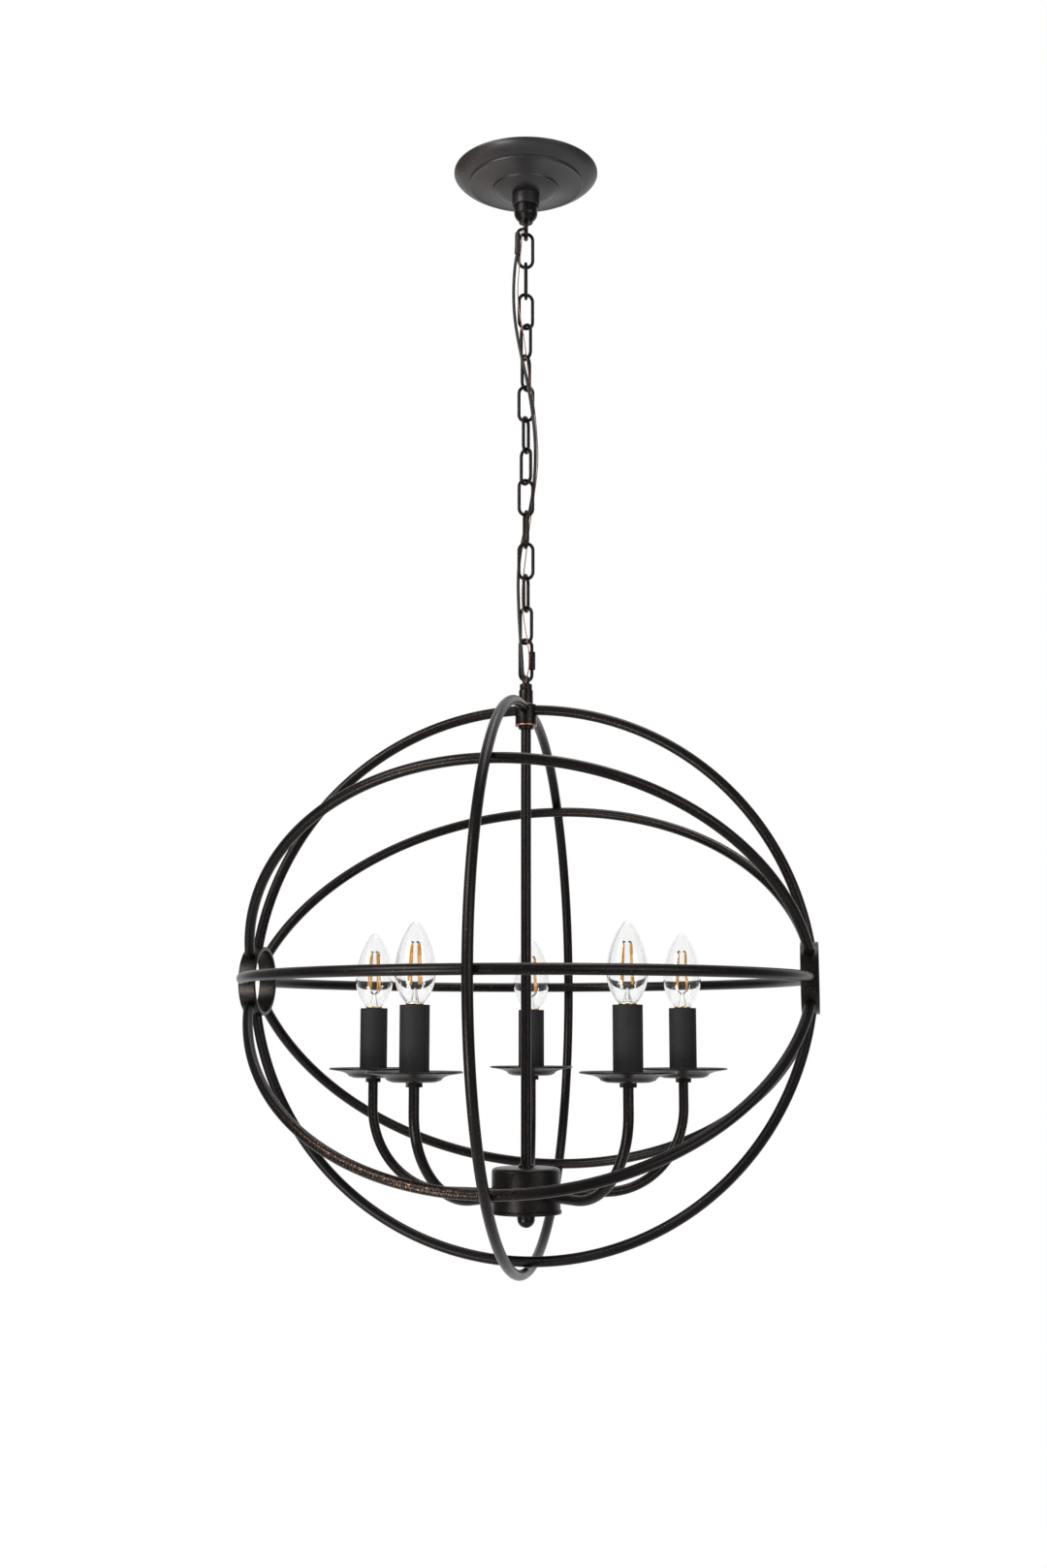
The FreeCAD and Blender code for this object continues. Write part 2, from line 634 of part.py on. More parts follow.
node(fixture_loop(), "fixture_loop")
node(turned("loop_coupling", [
    ("rod_bore", "-hub_top"), ("coupling_radius - 0.6", "-hub_top"), ("coupling_radius", "-hub_top + 0.8"),
    ("coupling_radius", "-coupling_top - 1.6"), ("coupling_radius - 1", "-coupling_top"),
    ("rod_bore", "-coupling_top"),
]), "loop_coupling")
HUB_BOTTOM = "(hub_top + hub_height)"
node(turned("top_hub", [
    ("rod_radius + thread_gap", "-hub_top"), ("rod_radius + thread_gap", f"-{HUB_BOTTOM} - hub_neck_height"),
    ("hub_neck_radius", f"-{HUB_BOTTOM} - hub_neck_height"), ("hub_neck_radius", f"-{HUB_BOTTOM}"),
    ("hub_radius", f"-{HUB_BOTTOM}"), ("hub_radius", "-hub_top - 1.5"), ("hub_radius - 1.5", "-hub_top"),
]), "top_hub")


# ---------------------------------------------------------------- orb
def half_hoop(name, *tools):
    """A bar bent to half a circle over the X axis, pointing up, its ends coped to the side hubs."""
    bar = bent_bar(
        name + "_bar", on_arc(("0", "-hoop_offset"), "hoop_reach", 0, 180, HOOP_STEPS), "bar_radius",
    )
    copes = [
        primitive(
            "Cylinder", name + "_cope", (f"{side} * {SIDE_HUB_PLACE} - hoop_reach / 8", "0", "0"),
            FreeCAD.Rotation(Y_AXIS, 90), Radius="side_hub_radius + weld_gap", Height="hoop_reach / 4",
        )
        for side in (1, -1)
    ]
    return cut(name, bar, *copes, *tools)


def top_hub_cope(name):
    """The round space that the top hub takes out of the bars it carries."""
    return primitive(
        "Cylinder", name, ("0", "0", f"{ORB_REACH} - 4 * bar_radius"),
        Radius="hub_radius + weld_gap", Height="10 * bar_radius",
    )


hoop = half_hoop("hoop")
split_hoop = half_hoop("split_hoop", top_hub_cope("hoop_top_cope"))
HOOPS = (
    "hoop_up", "hoop_front_up", "hoop_front", "hoop_front_down",
    "hoop_down", "hoop_back_down", "hoop_back", "hoop_back_up",
)
for steps, name in enumerate(HOOPS):
    master = split_hoop if name == "hoop_up" else hoop
    node(copy_of(master, name, ("0", "0", "-orb_drop"), spin=(X_AXIS, f"{steps} * hoop_spacing")), name)


def crossing_ring():
    """Ring outside the hoops at the front, below and behind, drawn in to the top hub."""
    start = "ring_bend_start"
    shift = f"({RING_REACH} - ring_end_reach)"
    lift = f"{shift} * sin({start} * 1deg)"
    right = on_arc((f"{shift} * cos({start} * 1deg)", lift), "ring_end_reach", 95, f"{start} - 95", ARM_STEPS)
    left = on_arc(
        (f"-{shift} * cos({start} * 1deg)", lift), "ring_end_reach", f"180 - {start}", f"{start} - 95", ARM_STEPS,
    )
    main = on_arc(("0", "0"), RING_REACH, start, f"-180 - 2 * {start}", 2 * HOOP_STEPS)
    bar = bent_bar("ring_bar", [*right[:-1], *main, *left[1:]], "bar_radius")
    return cut("ring_crossing", bar, top_hub_cope("ring_top_cope"))


node(put(crossing_ring(), ("0", "0", "-orb_drop"), FreeCAD.Rotation(Z_AXIS, 90)), "ring_crossing")

side_hub = cut(
    "side_hub",
    primitive("Cylinder", "side_hub_outside", Radius="side_hub_radius", Height="side_hub_width"),
    primitive("Cylinder", "side_hub_bore", Radius="side_hub_radius - side_hub_wall", Height="side_hub_width"),
)
hub_turn = FreeCAD.Rotation(Y_AXIS, 90)
node(group(
    "side_hubs",
    copy_of(side_hub, "right_hub", (f"{SIDE_HUB_PLACE} - side_hub_width / 2", "0", "-orb_drop"), hub_turn),
    copy_of(side_hub, "left_hub", (f"-{SIDE_HUB_PLACE} - side_hub_width / 2", "0", "-orb_drop"), hub_turn),
), "side_hubs")


# ---------------------------------------------------------------- down rod and cluster body
node(tube("down_rod", "rod_radius", "rod_bore", "rod_top", "(rod_bottom - rod_top)"), "down_rod")


def cluster_cup():
    """Deep cup with a rounded shoulder, a check ring at the rod and a hole for each arm."""
    way, wall, inside = "rod_radius + thread_gap", "cup_wall", "(cup_radius - cup_wall)"
    shell = faceted("cup_shell", [
        (way, "rod_flange_height"), (way, f"-{wall}"), (f"{inside} - cup_shoulder + {wall}", f"-{wall}"),
        (inside, "-cup_shoulder", "cup_shoulder - cup_wall", -1), (inside, "-cup_height"),
        ("cup_radius", "-cup_height"), ("cup_radius", "-cup_shoulder"),
        ("cup_radius - cup_shoulder", "0", "cup_shoulder", 1), ("rod_flange_radius", "0"),
        ("rod_flange_radius", "rod_flange_height - 0.8"), ("rod_flange_radius - 0.8", "rod_flange_height"),
    ], CUP_FLATS)
    put(shell, ("0", "0", "-cup_top"))
    holes = []
    for arm in range(ARM_COUNT):
        hole = primitive(
            "Cylinder", "arm_hole", Radius="arm_radius + thread_gap", Height="2 * cup_radius",
            turn=FreeCAD.Rotation(Y_AXIS, 90),
        )
        holes.append(put(group("arm_hole_turned", hole), ("0", "0", "-arm_drop"), spin=(Z_AXIS, arm_angle(arm))))
    return cut("cluster_cup", shell, *holes)


def arm_angle(arm):
    return f"(arm_first_angle + {arm} * 360 / {ARM_COUNT})"


def light_place(arm, height):
    """Where the axis of a light stands."""
    return (
        f"light_circle * cos({arm_angle(arm)} * 1deg)",
        f"light_circle * sin({arm_angle(arm)} * 1deg)",
        height,
    )


node(cluster_cup(), "cluster_cup")
node(put(faceted("cluster_cover", [
    ("rod_radius + thread_gap", "0"), ("rod_radius + thread_gap", "-cover_height"),
    ("cover_radius - 1.2", "-cover_height"), ("cover_radius", "-cover_height + 1.2", "1.3", 1),
    ("cover_radius", "0"), ("cup_radius - cup_wall - weld_gap", "0"),
    ("cup_radius - cup_wall - weld_gap", "cover_spigot"), ("cup_radius - 2 * cup_wall - weld_gap", "cover_spigot"),
    ("cup_radius - 2 * cup_wall - weld_gap", "0"),
], CUP_FLATS), ("0", "0", f"-{CUP_BOTTOM}")), "cluster_cover")
ROD_SOCKET = f"(rod_bottom - {FINIAL_TOP} + thread_gap)"
node(put(faceted("finial", [
    ("0", f"-{ROD_SOCKET}"), ("0", "-finial_straight - finial_radius"),
    ("finial_radius", "-finial_straight", "finial_radius", 1), ("finial_radius", "-0.8"),
    ("finial_radius - 0.8", "0"), ("rod_radius + thread_gap", "0"), ("rod_radius + thread_gap", f"-{ROD_SOCKET}"),
]), ("0", "0", f"-{FINIAL_TOP}")), "finial")


# ---------------------------------------------------------------- arms
def arm_bar(name, radius):
    """Straight run out of the cup, quarter bend and upright stem."""
    bend = on_arc(("light_circle - arm_bend", "-arm_drop + arm_bend"), "arm_bend", -90, 90, ARM_STEPS)
    return bent_bar(name, [("arm_inner_end", "-arm_drop"), *bend, ("light_circle", "-arm_top")], radius)


arm_master = cut("arm", arm_bar("arm_outside", "arm_radius"), arm_bar("arm_inside", "arm_bore"))
nut_master = hexagon_nut("lock_nut", "arm_radius + thread_gap")
rod_nut = hexagon_nut("rod_nut", "rod_radius + thread_gap")
lock_nuts = [put(rod_nut, ("0", "0", "-cup_top - cup_wall - nut_height"))]
for arm in range(ARM_COUNT):
    node(copy_of(arm_master, f"arm_{arm + 1}", spin=(Z_AXIS, arm_angle(arm))), f"arm_{arm + 1}")
    lock_nuts.append(copy_of(nut_master, "pan_nut", light_place(arm, "-pan_rim - pan_depth - nut_height")))
    inner = put(
        group("cup_nut", copy_of(nut_master, "cup_nut_turned", ("arm_nut_seat - nut_height", "0", "0"),
                                 FreeCAD.Rotation(Y_AXIS, 90))),
        ("0", "0", "-arm_drop"), spin=(Z_AXIS, arm_angle(arm)),
    )
    lock_nuts.append(inner)
node(group("lock_nuts", *lock_nuts), "lock_nuts")


# ---------------------------------------------------------------- pans, candles and lampholders
def pan():
    """Spun drip pan: flat flange, middle step and lower bowl, its rim at the origin."""
    wall, way = "pan_wall", "arm_radius + thread_gap"
    steps = [
        ("pan_radius", f"-{wall}"),
        ("pan_flange_inner", "-pan_flange_fall - pan_wall"),
        ("pan_bowl_radius + 1", "-pan_step_fall - pan_wall", "16", -1),
        ("pan_bowl_radius", "-pan_step_fall - pan_wall - 0.8"),
        ("pan_foot_radius", "-pan_depth", "17", -1),
    ]
    outline = [("pan_radius", "0"), *steps, (way, "-pan_depth"), (way, "-pan_depth + pan_wall")]
    previous = None
    for corner in reversed(steps[1:]):
        back = (f"{corner[0]} - pan_wall / 2", f"{corner[1]} + pan_wall")
        if previous and len(previous) == 4:
            back = (*back, previous[2], -previous[3])
        outline.append(back)
        previous = corner
    return faceted("pan", outline)


CANDLE_HEIGHT = "(pan_rim + pan_depth - pan_wall - candle_top)"
candle = cut(
    "candle",
    primitive("Cylinder", "candle_outside", Radius="candle_radius", Height=CANDLE_HEIGHT),
    primitive("Cylinder", "candle_bore", Radius="candle_radius - candle_wall", Height=CANDLE_HEIGHT),
)


def lampholder():
    """Candle lampholder on the arm's thread, its foot on the pan."""
    length = "(pan_rim + pan_depth - pan_wall - holder_top)"
    well = "cap_radius + running_gap"
    stem = "arm_radius + thread_gap"
    return faceted("lampholder", [
        (stem, "0"), (stem, "pan_rim + pan_depth - pan_wall - arm_top + thread_gap"),
        ("0", "pan_rim + pan_depth - pan_wall - arm_top + thread_gap"),
        ("0", f"{length} - cap_length - 3"), (well, f"{length} - cap_length - 3"), (well, length),
        ("holder_radius", length), ("holder_radius", "holder_neck_height + 3"),
        ("holder_neck_radius", "holder_neck_height"), ("holder_neck_radius", "0"),
    ])


pan_master, holder_master = pan(), lampholder()
PAN_FLOOR = "-pan_rim - pan_depth + pan_wall"
arms = range(ARM_COUNT)
node(group("pans", *[copy_of(pan_master, "pan_copy", light_place(a, "-pan_rim")) for a in arms]), "pans")
node(group("candles", *[copy_of(candle, "candle_copy", light_place(a, PAN_FLOOR)) for a in arms]), "candles")
node(group("lampholders", *[copy_of(holder_master, "holder_copy", light_place(a, PAN_FLOOR)) for a in arms]),
     "lampholders")


# ---------------------------------------------------------------- bulbs
def glass_line(skin):
    """Neck, belly, start of the tip and tip of the glass, taken in by a skin. All arcs are tangent."""
    side = "(bulb_radius - bulb_tip_radius)"
    rise = "(bulb_length - bulb_tip_radius - bulb_belly)"
    upper = f"(({rise} ^ 2 + bulb_radius ^ 2 - bulb_tip_radius ^ 2) / (2 * {side}))"
    lower = "(((bulb_radius - bulb_neck_radius) ^ 2 + (bulb_belly - 1) ^ 2) / (2 * (bulb_radius - bulb_neck_radius)))"
    return [
        (f"bulb_radius - {lower} + sqrt(({lower} - {skin}) ^ 2 - (bulb_belly - 1) ^ 2)", "1"),
        (f"bulb_radius - {skin}", "bulb_belly", f"{lower} - {skin}", 1),
        (f"bulb_radius - {upper} + ({upper} - {skin}) * ({upper} - bulb_radius) / ({upper} - bulb_tip_radius)",
         f"bulb_belly + ({upper} - {skin}) * {rise} / ({upper} - bulb_tip_radius)", f"{upper} - {skin}", 1),
        ("0", f"bulb_length - {skin}", f"bulb_tip_radius - {skin}", 1),
    ]


def bulb_glass():
    """Clear candle glass, its neck open at the cap. The origin is on the candle's top."""
    outside, inside = glass_line("0"), glass_line("bulb_wall")
    outline, previous = list(outside), None
    for corner in reversed(inside):
        back = corner[:2] if previous is None else (*corner[:2], previous[2], -1)
        outline.append(back)
        previous = corner
    return faceted("bulb_glass", outline)


def bulb_cap():
    """Brass screw cap: collar, threaded shell, insulator and centre contact."""
    foot = "1 - 2.5 - cap_length"
    return faceted("bulb_cap", [
        ("0", "1"), ("0", f"{foot} - 2"), ("2", f"{foot} - 2"), ("2", f"{foot} - 1"), ("4", foot),
        ("cap_radius", f"{foot} + 3"), ("cap_radius", "1 - 2.5"), ("cap_skirt_radius", "1 - 1.5"),
        ("cap_skirt_radius", "1"),
    ])


def stick_of(name, radius, length):
    """A thin upright stick."""
    stick = doc.addObject("Part::Prism", name)
    stick.Polygon = BAR_FLATS
    bind(stick, "Circumradius", radius)
    bind(stick, "Height", length)
    return stick


def bulb_mount():
    """Glass stem with its support wires."""
    top = "filament_foot + filament_length"
    stem = faceted("bulb_stem", [
        ("0", "1"), ("stem_radius", "1"), ("stem_radius * 0.5", "stem_height * 0.7"),
        ("stem_radius * 0.4", "stem_height"), ("wire_radius * 2", "stem_height + 2"),
        ("wire_radius * 2", f"{top} + 1"), ("0", f"{top} + 1"),
    ], SMALL_FLATS)
    wires = [stem]
    for stick in range(FILAMENT_COUNT):
        for height in ("filament_foot - wire_radius", f"{top} + wire_radius"):
            spoke = stick_of("spoke", "wire_radius", "filament_circle + filament_radius")
            put(spoke, turn=FreeCAD.Rotation(Y_AXIS, 90))
            angle = f"45 + {stick} * 360 / {FILAMENT_COUNT}"
            wires.append(put(group("spoke_turned", spoke), ("0", "0", height), spin=(Z_AXIS, angle)))
    return fuse("bulb_mount", *wires)


def filaments():
    sticks = []
    for stick in range(FILAMENT_COUNT):
        angle = f"(45 + {stick} * 360 / {FILAMENT_COUNT}) * 1deg"
        sticks.append(put(
            stick_of("filament", "filament_radius", "filament_length"),
            (f"filament_circle * cos({angle})", f"filament_circle * sin({angle})", "filament_foot"),
        ))
    return sticks


glass_master = bulb_glass()
core_master = group("bulb_core", bulb_cap(), bulb_mount(), *filaments())
for arm in range(ARM_COUNT):
    place = light_place(arm, "-candle_top")
    node(copy_of(glass_master, f"bulb_{arm + 1}_glass", place), f"bulb_{arm + 1}_glass")
    node(copy_of(core_master, f"bulb_{arm + 1}_core", place), f"bulb_{arm + 1}_core")


# ---------------------------------------------------------------- supply cord and ground wire
def cord(name, route, radius):
    """A tube of straight runs and tangent arcs. Its first and last points lie on their seats."""
    points = [V(*spot) for spot in route]
    edges, radii, start = [], [], points[0]
    for before, corner, after in zip(points, points[1:], points[2:]):
        back, on = (before - corner), (after - corner)
        reach = ARC_SHARE * min(back.Length, on.Length)
        half_turn = (math.pi - back.getAngle(on)) / 2
        bend = reach / math.tan(half_turn)
        back.normalize()
        on.normalize()
        inward = (back + on).normalize()
        middle = corner + inward * (bend / math.cos(half_turn) - bend)
        first, last = corner + back * reach, corner + on * reach
        edges += [Part.makeLine(start, first), Part.Arc(first, middle, last).toShape()]
        radii.append(round(bend, 1))
        start = last
    edges.append(Part.makeLine(start, points[-1]))
    way = doc.addObject("Part::Feature", name + "_way")
    way.Shape = Part.Wire(edges)
    section = doc.addObject("Part::RegularPolygon", name + "_section")
    section.Polygon = BAR_FLATS
    bind(section, "Circumradius", radius)
    section.Placement = FreeCAD.Placement(points[0], FreeCAD.Rotation(Z_AXIS, points[1] - points[0]))
    tube = doc.addObject("Part::Sweep", name)
    tube.Sections = [section]
    tube.Spine = (way, [f"Edge{n + 1}" for n in range(len(edges))])
    tube.Solid = True
    print(name, "length", round(way.Shape.Length, 1), "radii", radii)
    return tube


cords = {}
for name, route, radius in (
    ("supply_cord", CORD_ROUTE, "cord_radius"), ("ground_wire", WIRE_ROUTE, "ground_wire_radius"),
):
    cords[name] = cord(name, route, radius)
    node(cords[name], name)


# ---------------------------------------------------------------- check and write
doc.recompute()
failed = [thing.Name for thing in doc.Objects if {"Invalid", "Error"} & set(thing.State)]
if failed:
    raise SystemExit("failed: " + ", ".join(failed))
shapes = {piece.Label: Part.getShape(piece) for piece in nodes}
for name, shape in shapes.items():
    if shape.isNull() or not shape.isValid() or not shape.Solids:
        raise SystemExit(f"{name} is not a valid solid")
os.makedirs("parts", exist_ok=True)
for name, shape in shapes.items():
    shape.exportStep(f"parts/{name}.step")
for name, tube_of in cords.items():
    section, way = tube_of.Sections[0], tube_of.Spine[0]
    flat_area = BAR_FLATS / 2 * section.Circumradius.Value**2 * math.sin(2 * math.pi / BAR_FLATS)
    print(name, "volume", round(tube_of.Shape.Volume, 1), "section by length", round(flat_area * way.Shape.Length, 1))
print(len(shapes), "nodes,", sum(len(s.Solids) for s in shapes.values()), "solids")
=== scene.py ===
# %% [markdown]
# # Orb chandelier
# A canopy, a chain of 13 links and a quick link carry an open orb of eight half hoops and one crossing
# ring. Inside it, five arms hold candle lights. Outlines and paths are in millimetres, with z = 0 at the
# ceiling, and mesh_piece turns them into Blender's metres. The solids of the frame have flats on their
# bars, so each is replaced by a smooth piece of the same size, and the hidden fittings keep their own
# shapes.

import math

import bpy
from mathutils import Matrix, Vector


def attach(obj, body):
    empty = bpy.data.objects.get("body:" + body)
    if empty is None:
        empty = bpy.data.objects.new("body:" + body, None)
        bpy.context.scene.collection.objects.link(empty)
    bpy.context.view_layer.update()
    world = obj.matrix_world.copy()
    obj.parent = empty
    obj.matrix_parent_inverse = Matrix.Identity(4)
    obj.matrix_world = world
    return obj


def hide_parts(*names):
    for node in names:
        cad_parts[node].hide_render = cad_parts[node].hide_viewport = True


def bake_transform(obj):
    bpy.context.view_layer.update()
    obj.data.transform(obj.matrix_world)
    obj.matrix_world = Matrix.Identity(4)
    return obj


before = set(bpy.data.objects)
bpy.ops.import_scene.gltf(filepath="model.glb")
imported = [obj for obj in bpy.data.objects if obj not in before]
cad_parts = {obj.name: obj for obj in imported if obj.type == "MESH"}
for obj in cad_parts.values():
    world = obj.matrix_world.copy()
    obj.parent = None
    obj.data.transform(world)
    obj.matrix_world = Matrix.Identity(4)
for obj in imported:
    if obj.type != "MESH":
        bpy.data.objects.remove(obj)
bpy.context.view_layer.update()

# %% [markdown]
# ## Shapes
# Most of the light is bent bar or turned metal. A bar could be a curve with a bevel, but a circle carried
# along the path by hand has closed ends and can be cut between two rings, which the cord needs later.
# Turned pieces are outlines spun round the upright axis, with a single point where they meet it, so that
# poles are closed.

# %% A mesh from points in millimetres
MM = 0.001


def mesh_piece(name, verts, faces, sharp=35):
    mesh = bpy.data.meshes.new(name)
    mesh.from_pydata([tuple(c * MM for c in v) for v in verts], [], faces)
    mesh.shade_smooth()
    mesh.set_sharp_from_angle(angle=math.radians(sharp))
    mesh.update()
    piece = bpy.data.objects.new(name, mesh)
    bpy.context.scene.collection.objects.link(piece)
    return piece


# %% Bars along a path
def rings_along(path, radius, sides=20, closed=False):
    path = [Vector(p) for p in path]
    n = len(path)
    ahead = [
        (path[(i + 1) % n] - path[i - 1] if closed or 0 < i < n - 1
         else path[min(i + 1, n - 1)] - path[max(i - 1, 0)]).normalized()
        for i in range(n)
    ]
    side = ahead[0].orthogonal().normalized()
    rings = []
    for i, point in enumerate(path):
        if i:
            side = ahead[i - 1].rotation_difference(ahead[i]) @ side
        side = (side - ahead[i] * side.dot(ahead[i])).normalized()
        up = ahead[i].cross(side)
        rings.append([
            point + radius * (math.cos(a) * side + math.sin(a) * up)
            for a in (2 * math.pi * k / sides for k in range(sides))
        ])
    return rings


def skin(rings, closed=False):
    sides, n = len(rings[0]), len(rings)
    verts = [p for ring in rings for p in ring]
    faces = []
    for i in range(n if closed else n - 1):
        a, b = i * sides, (i + 1) % n * sides
        faces += [(a + k, a + (k + 1) % sides, b + (k + 1) % sides, b + k) for k in range(sides)]
    if not closed:
        faces += [tuple(reversed(range(sides))), tuple(range((n - 1) * sides, n * sides))]
    return verts, faces


def bars(name, paths, radius, sides=20, closed=False):
    verts, faces = [], []
    for path in paths:
        v, f = skin(rings_along(path, radius, sides, closed), closed)
        faces += [tuple(i + len(verts) for i in face) for face in f]
        verts += v
    return mesh_piece(name, verts, faces, 50)


# %% Outlines with rounded corners and arcs
def soft(outline, radius, closed=False, steps=4):
    """The outline with each corner rounded."""
    out, n = [], len(outline)
    for i, p in enumerate(outline):
        if not closed and i in (0, n - 1):
            out.append(tuple(p))
            continue
        p, a, b = Vector(p), Vector(outline[i - 1]), Vector(outline[(i + 1) % n])
        cut = min(radius, (a - p).length * 0.45, (b - p).length * 0.45)
        start, end = p + (a - p).normalized() * cut, p + (b - p).normalized() * cut
        for k in range(steps + 1):
            t = k / steps
            out.append(tuple((1 - t) ** 2 * start + 2 * t * (1 - t) * p + t * t * end))
    return out


def arc(cx, cz, radius, start, end, steps=10):
    return [
        (cx + radius * math.cos(math.radians(a)), cz + radius * math.sin(math.radians(a)))
        for a in (start + (end - start) * k / steps for k in range(steps + 1))
    ]


def between(a, b, radius, side, steps=10):
    """An arc of this radius from a to b, with its centre on one side or the other."""
    a, b = Vector(a), Vector(b)
    half = (b - a) / 2
    across = Vector((-half.y, half.x)).normalized()
    centre = (a + b) / 2 + side * across * math.sqrt(radius ** 2 - half.length ** 2)
    start = math.atan2(*reversed(a - centre))
    sweep = (a - centre).angle_signed(b - centre)
    angles = (start - sweep * k / steps for k in range(steps + 1))
    return [tuple(centre + radius * Vector((math.cos(t), math.sin(t)))) for t in angles]


# %% Turned pieces, and where each piece rides
def turned(name, outlines, places=((0, 0, 0),), steps=96, along=None):
    """Outlines of (radius, height), listed from the top outside down, spun round Z at each place.
    An outline that starts or ends on the axis closes there. One that doesn't is a closed loop."""
    verts, faces = [], []
    for place in places:
        for outline in outlines:
            loop = outline[0][0] > 0.01
            rows = []
            for r, z in outline:
                count = 1 if r < 0.01 else steps
                rows.append(range(len(verts), len(verts) + count))
                verts += [
                    Vector((r * math.cos(2 * math.pi * k / steps), r * math.sin(2 * math.pi * k / steps), z))
                    + Vector(place) for k in range(count)
                ]
            pairs = list(zip(rows, rows[1:])) + ([(rows[-1], rows[0])] if loop else [])
            for a, b in pairs:
                for k in range(steps):
                    j = (k + 1) % steps
                    if len(a) == 1:
                        faces.append((a[0], b[k], b[j]))
                    elif len(b) == 1:
                        faces.append((a[j], a[k], b[0]))
                    else:
                        faces.append((a[k], b[k], b[j], a[j]))
    if along:
        verts = [along @ v for v in verts]
    return mesh_piece(name, verts, faces)


def put(piece, body, material, slot, *nodes):
    piece.data.materials.clear()
    piece.data.materials.append(material)
    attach(piece, body)
    if nodes:
        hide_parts(*nodes)
    print(piece.name, "on", body, len(piece.data.polygons), "faces")
    return piece


# %% [markdown]
# ## Finishes
# The real finish is a satin charcoal brown with fine coppery wear. Each metal here is a base colour with a
# broad drift, worn spots where a fine noise is high, and a faint bump. Wear could be painted on, but noise
# on Object coordinates needs no unwrapping and stays with the piece as it moves. A patch keeps the wear to
# one place.

# %% Finishes
def metal(name, base, worn, wear=0.7, metallic=0.85, rough=0.42, scale=60.0, bump=0.08, patch=None):
    material = bpy.data.materials.new(name)
    material.use_nodes = True
    nodes, links = material.node_tree.nodes, material.node_tree.links
    shader = nodes["Principled BSDF"]
    shader.inputs["Metallic"].default_value = metallic
    place = nodes.new("ShaderNodeTexCoord").outputs["Object"]
    broad, fine = nodes.new("ShaderNodeTexNoise"), nodes.new("ShaderNodeTexNoise")
    broad.inputs["Scale"].default_value = scale * 0.3
    fine.inputs["Scale"].default_value = scale * 14
    fine.inputs["Detail"].default_value = 6
    drift = nodes.new("ShaderNodeValToRGB")
    drift.color_ramp.elements[0].color = (*[c * 0.75 for c in base], 1)
    drift.color_ramp.elements[1].color = (*[c * 1.3 for c in base], 1)
    spots = nodes.new("ShaderNodeMapRange")
    spots.inputs["From Min"].default_value = wear
    spots.inputs["From Max"].default_value = wear + 0.08
    mix = nodes.new("ShaderNodeMix")
    mix.data_type = "RGBA"
    mix.inputs["B"].default_value = (*worn, 1)
    shine = nodes.new("ShaderNodeMapRange")
    shine.inputs["To Min"].default_value = rough - 0.08
    shine.inputs["To Max"].default_value = rough + 0.1
    grain = nodes.new("ShaderNodeBump")
    grain.inputs["Strength"].default_value = bump
    grain.inputs["Distance"].default_value = 0.0005
    for texture in (broad, fine):
        links.new(place, texture.inputs["Vector"])
    links.new(broad.outputs["Fac"], drift.inputs["Fac"])
    links.new(fine.outputs["Fac"], spots.inputs["Value"])
    links.new(drift.outputs["Color"], mix.inputs["A"])
    links.new(broad.outputs["Fac"], shine.inputs["Value"])
    links.new(fine.outputs["Fac"], grain.inputs["Height"])
    fac = spots.outputs["Result"]
    if patch:
        centre, reach = patch
        near = nodes.new("ShaderNodeVectorMath")
        near.operation = "DISTANCE"
        near.inputs[1].default_value = centre
        links.new(place, near.inputs[0])
        fade = nodes.new("ShaderNodeMapRange")
        fade.inputs["From Min"].default_value = reach
        fade.inputs["From Max"].default_value = reach * 0.4
        links.new(near.outputs["Value"], fade.inputs["Value"])
        both = nodes.new("ShaderNodeMath")
        both.operation = "MULTIPLY"
        links.new(fac, both.inputs[0])
        links.new(fade.outputs["Result"], both.inputs[1])
        fac = both.outputs["Value"]
    links.new(fac, mix.inputs["Factor"])
    links.new(mix.outputs["Result"], shader.inputs["Base Color"])
    links.new(shine.outputs["Result"], shader.inputs["Roughness"])
    links.new(grain.outputs["Normal"], shader.inputs["Normal"])
    return material


def glass(name, tint):
    material = bpy.data.materials.new(name)
    material.use_nodes = True
    nodes, links = material.node_tree.nodes, material.node_tree.links
    shader = nodes["Principled BSDF"]
    shader.inputs["Transmission Weight"].default_value = 1
    shader.inputs["Roughness"].default_value = 0
    shader.inputs["IOR"].default_value = 1.45
    place = nodes.new("ShaderNodeTexCoord").outputs["Object"]
    drift, ramp = nodes.new("ShaderNodeTexNoise"), nodes.new("ShaderNodeValToRGB")
    drift.inputs["Scale"].default_value = 40
    ramp.color_ramp.elements[0].color = (*tint, 1)
    ramp.color_ramp.elements[1].color = (1, 1, 1, 1)
    links.new(place, drift.inputs["Vector"])
    links.new(drift.outputs["Fac"], ramp.inputs["Fac"])
    links.new(ramp.outputs["Color"], shader.inputs["Base Color"])
    return material


COPPER = (0.12, 0.060, 0.038)
BRONZE = (0.0125, 0.0108, 0.0102)
bronze = metal("satin_bronze", BRONZE, COPPER, wear=0.62, rough=0.34)
# The canopy's bronze is the same finish painted about three times lighter, more neutral and less metallic: painted
# light, for the light the canopy catches. Its coppery spots are wear.
canopy_bronze_painted_light = metal("canopy_bronze_painted_light", (0.040, 0.037, 0.037), COPPER, wear=0.55, rough=0.36, metallic=0.6,
                      patch=((-0.045, -0.035, -0.012), 0.045))
speckled = metal("speckled_bronze", BRONZE, (0.26, 0.13, 0.075), wear=0.57, rough=0.36,
                 patch=((-0.10, -0.17, -0.96), 0.15))
chain_bronze = metal("chain_bronze", (0.012, 0.0095, 0.0085), COPPER, wear=0.60, rough=0.38, scale=110)
edge_copper = metal("edge_copper", (0.42, 0.19, 0.11), (0.10, 0.05, 0.03), wear=0.62, rough=0.35, scale=90)
candle_black = metal("candle_black", (0.004, 0.0037, 0.0035), (0.020, 0.012, 0.008), wear=0.57, metallic=0,
                     rough=0.75, scale=80)
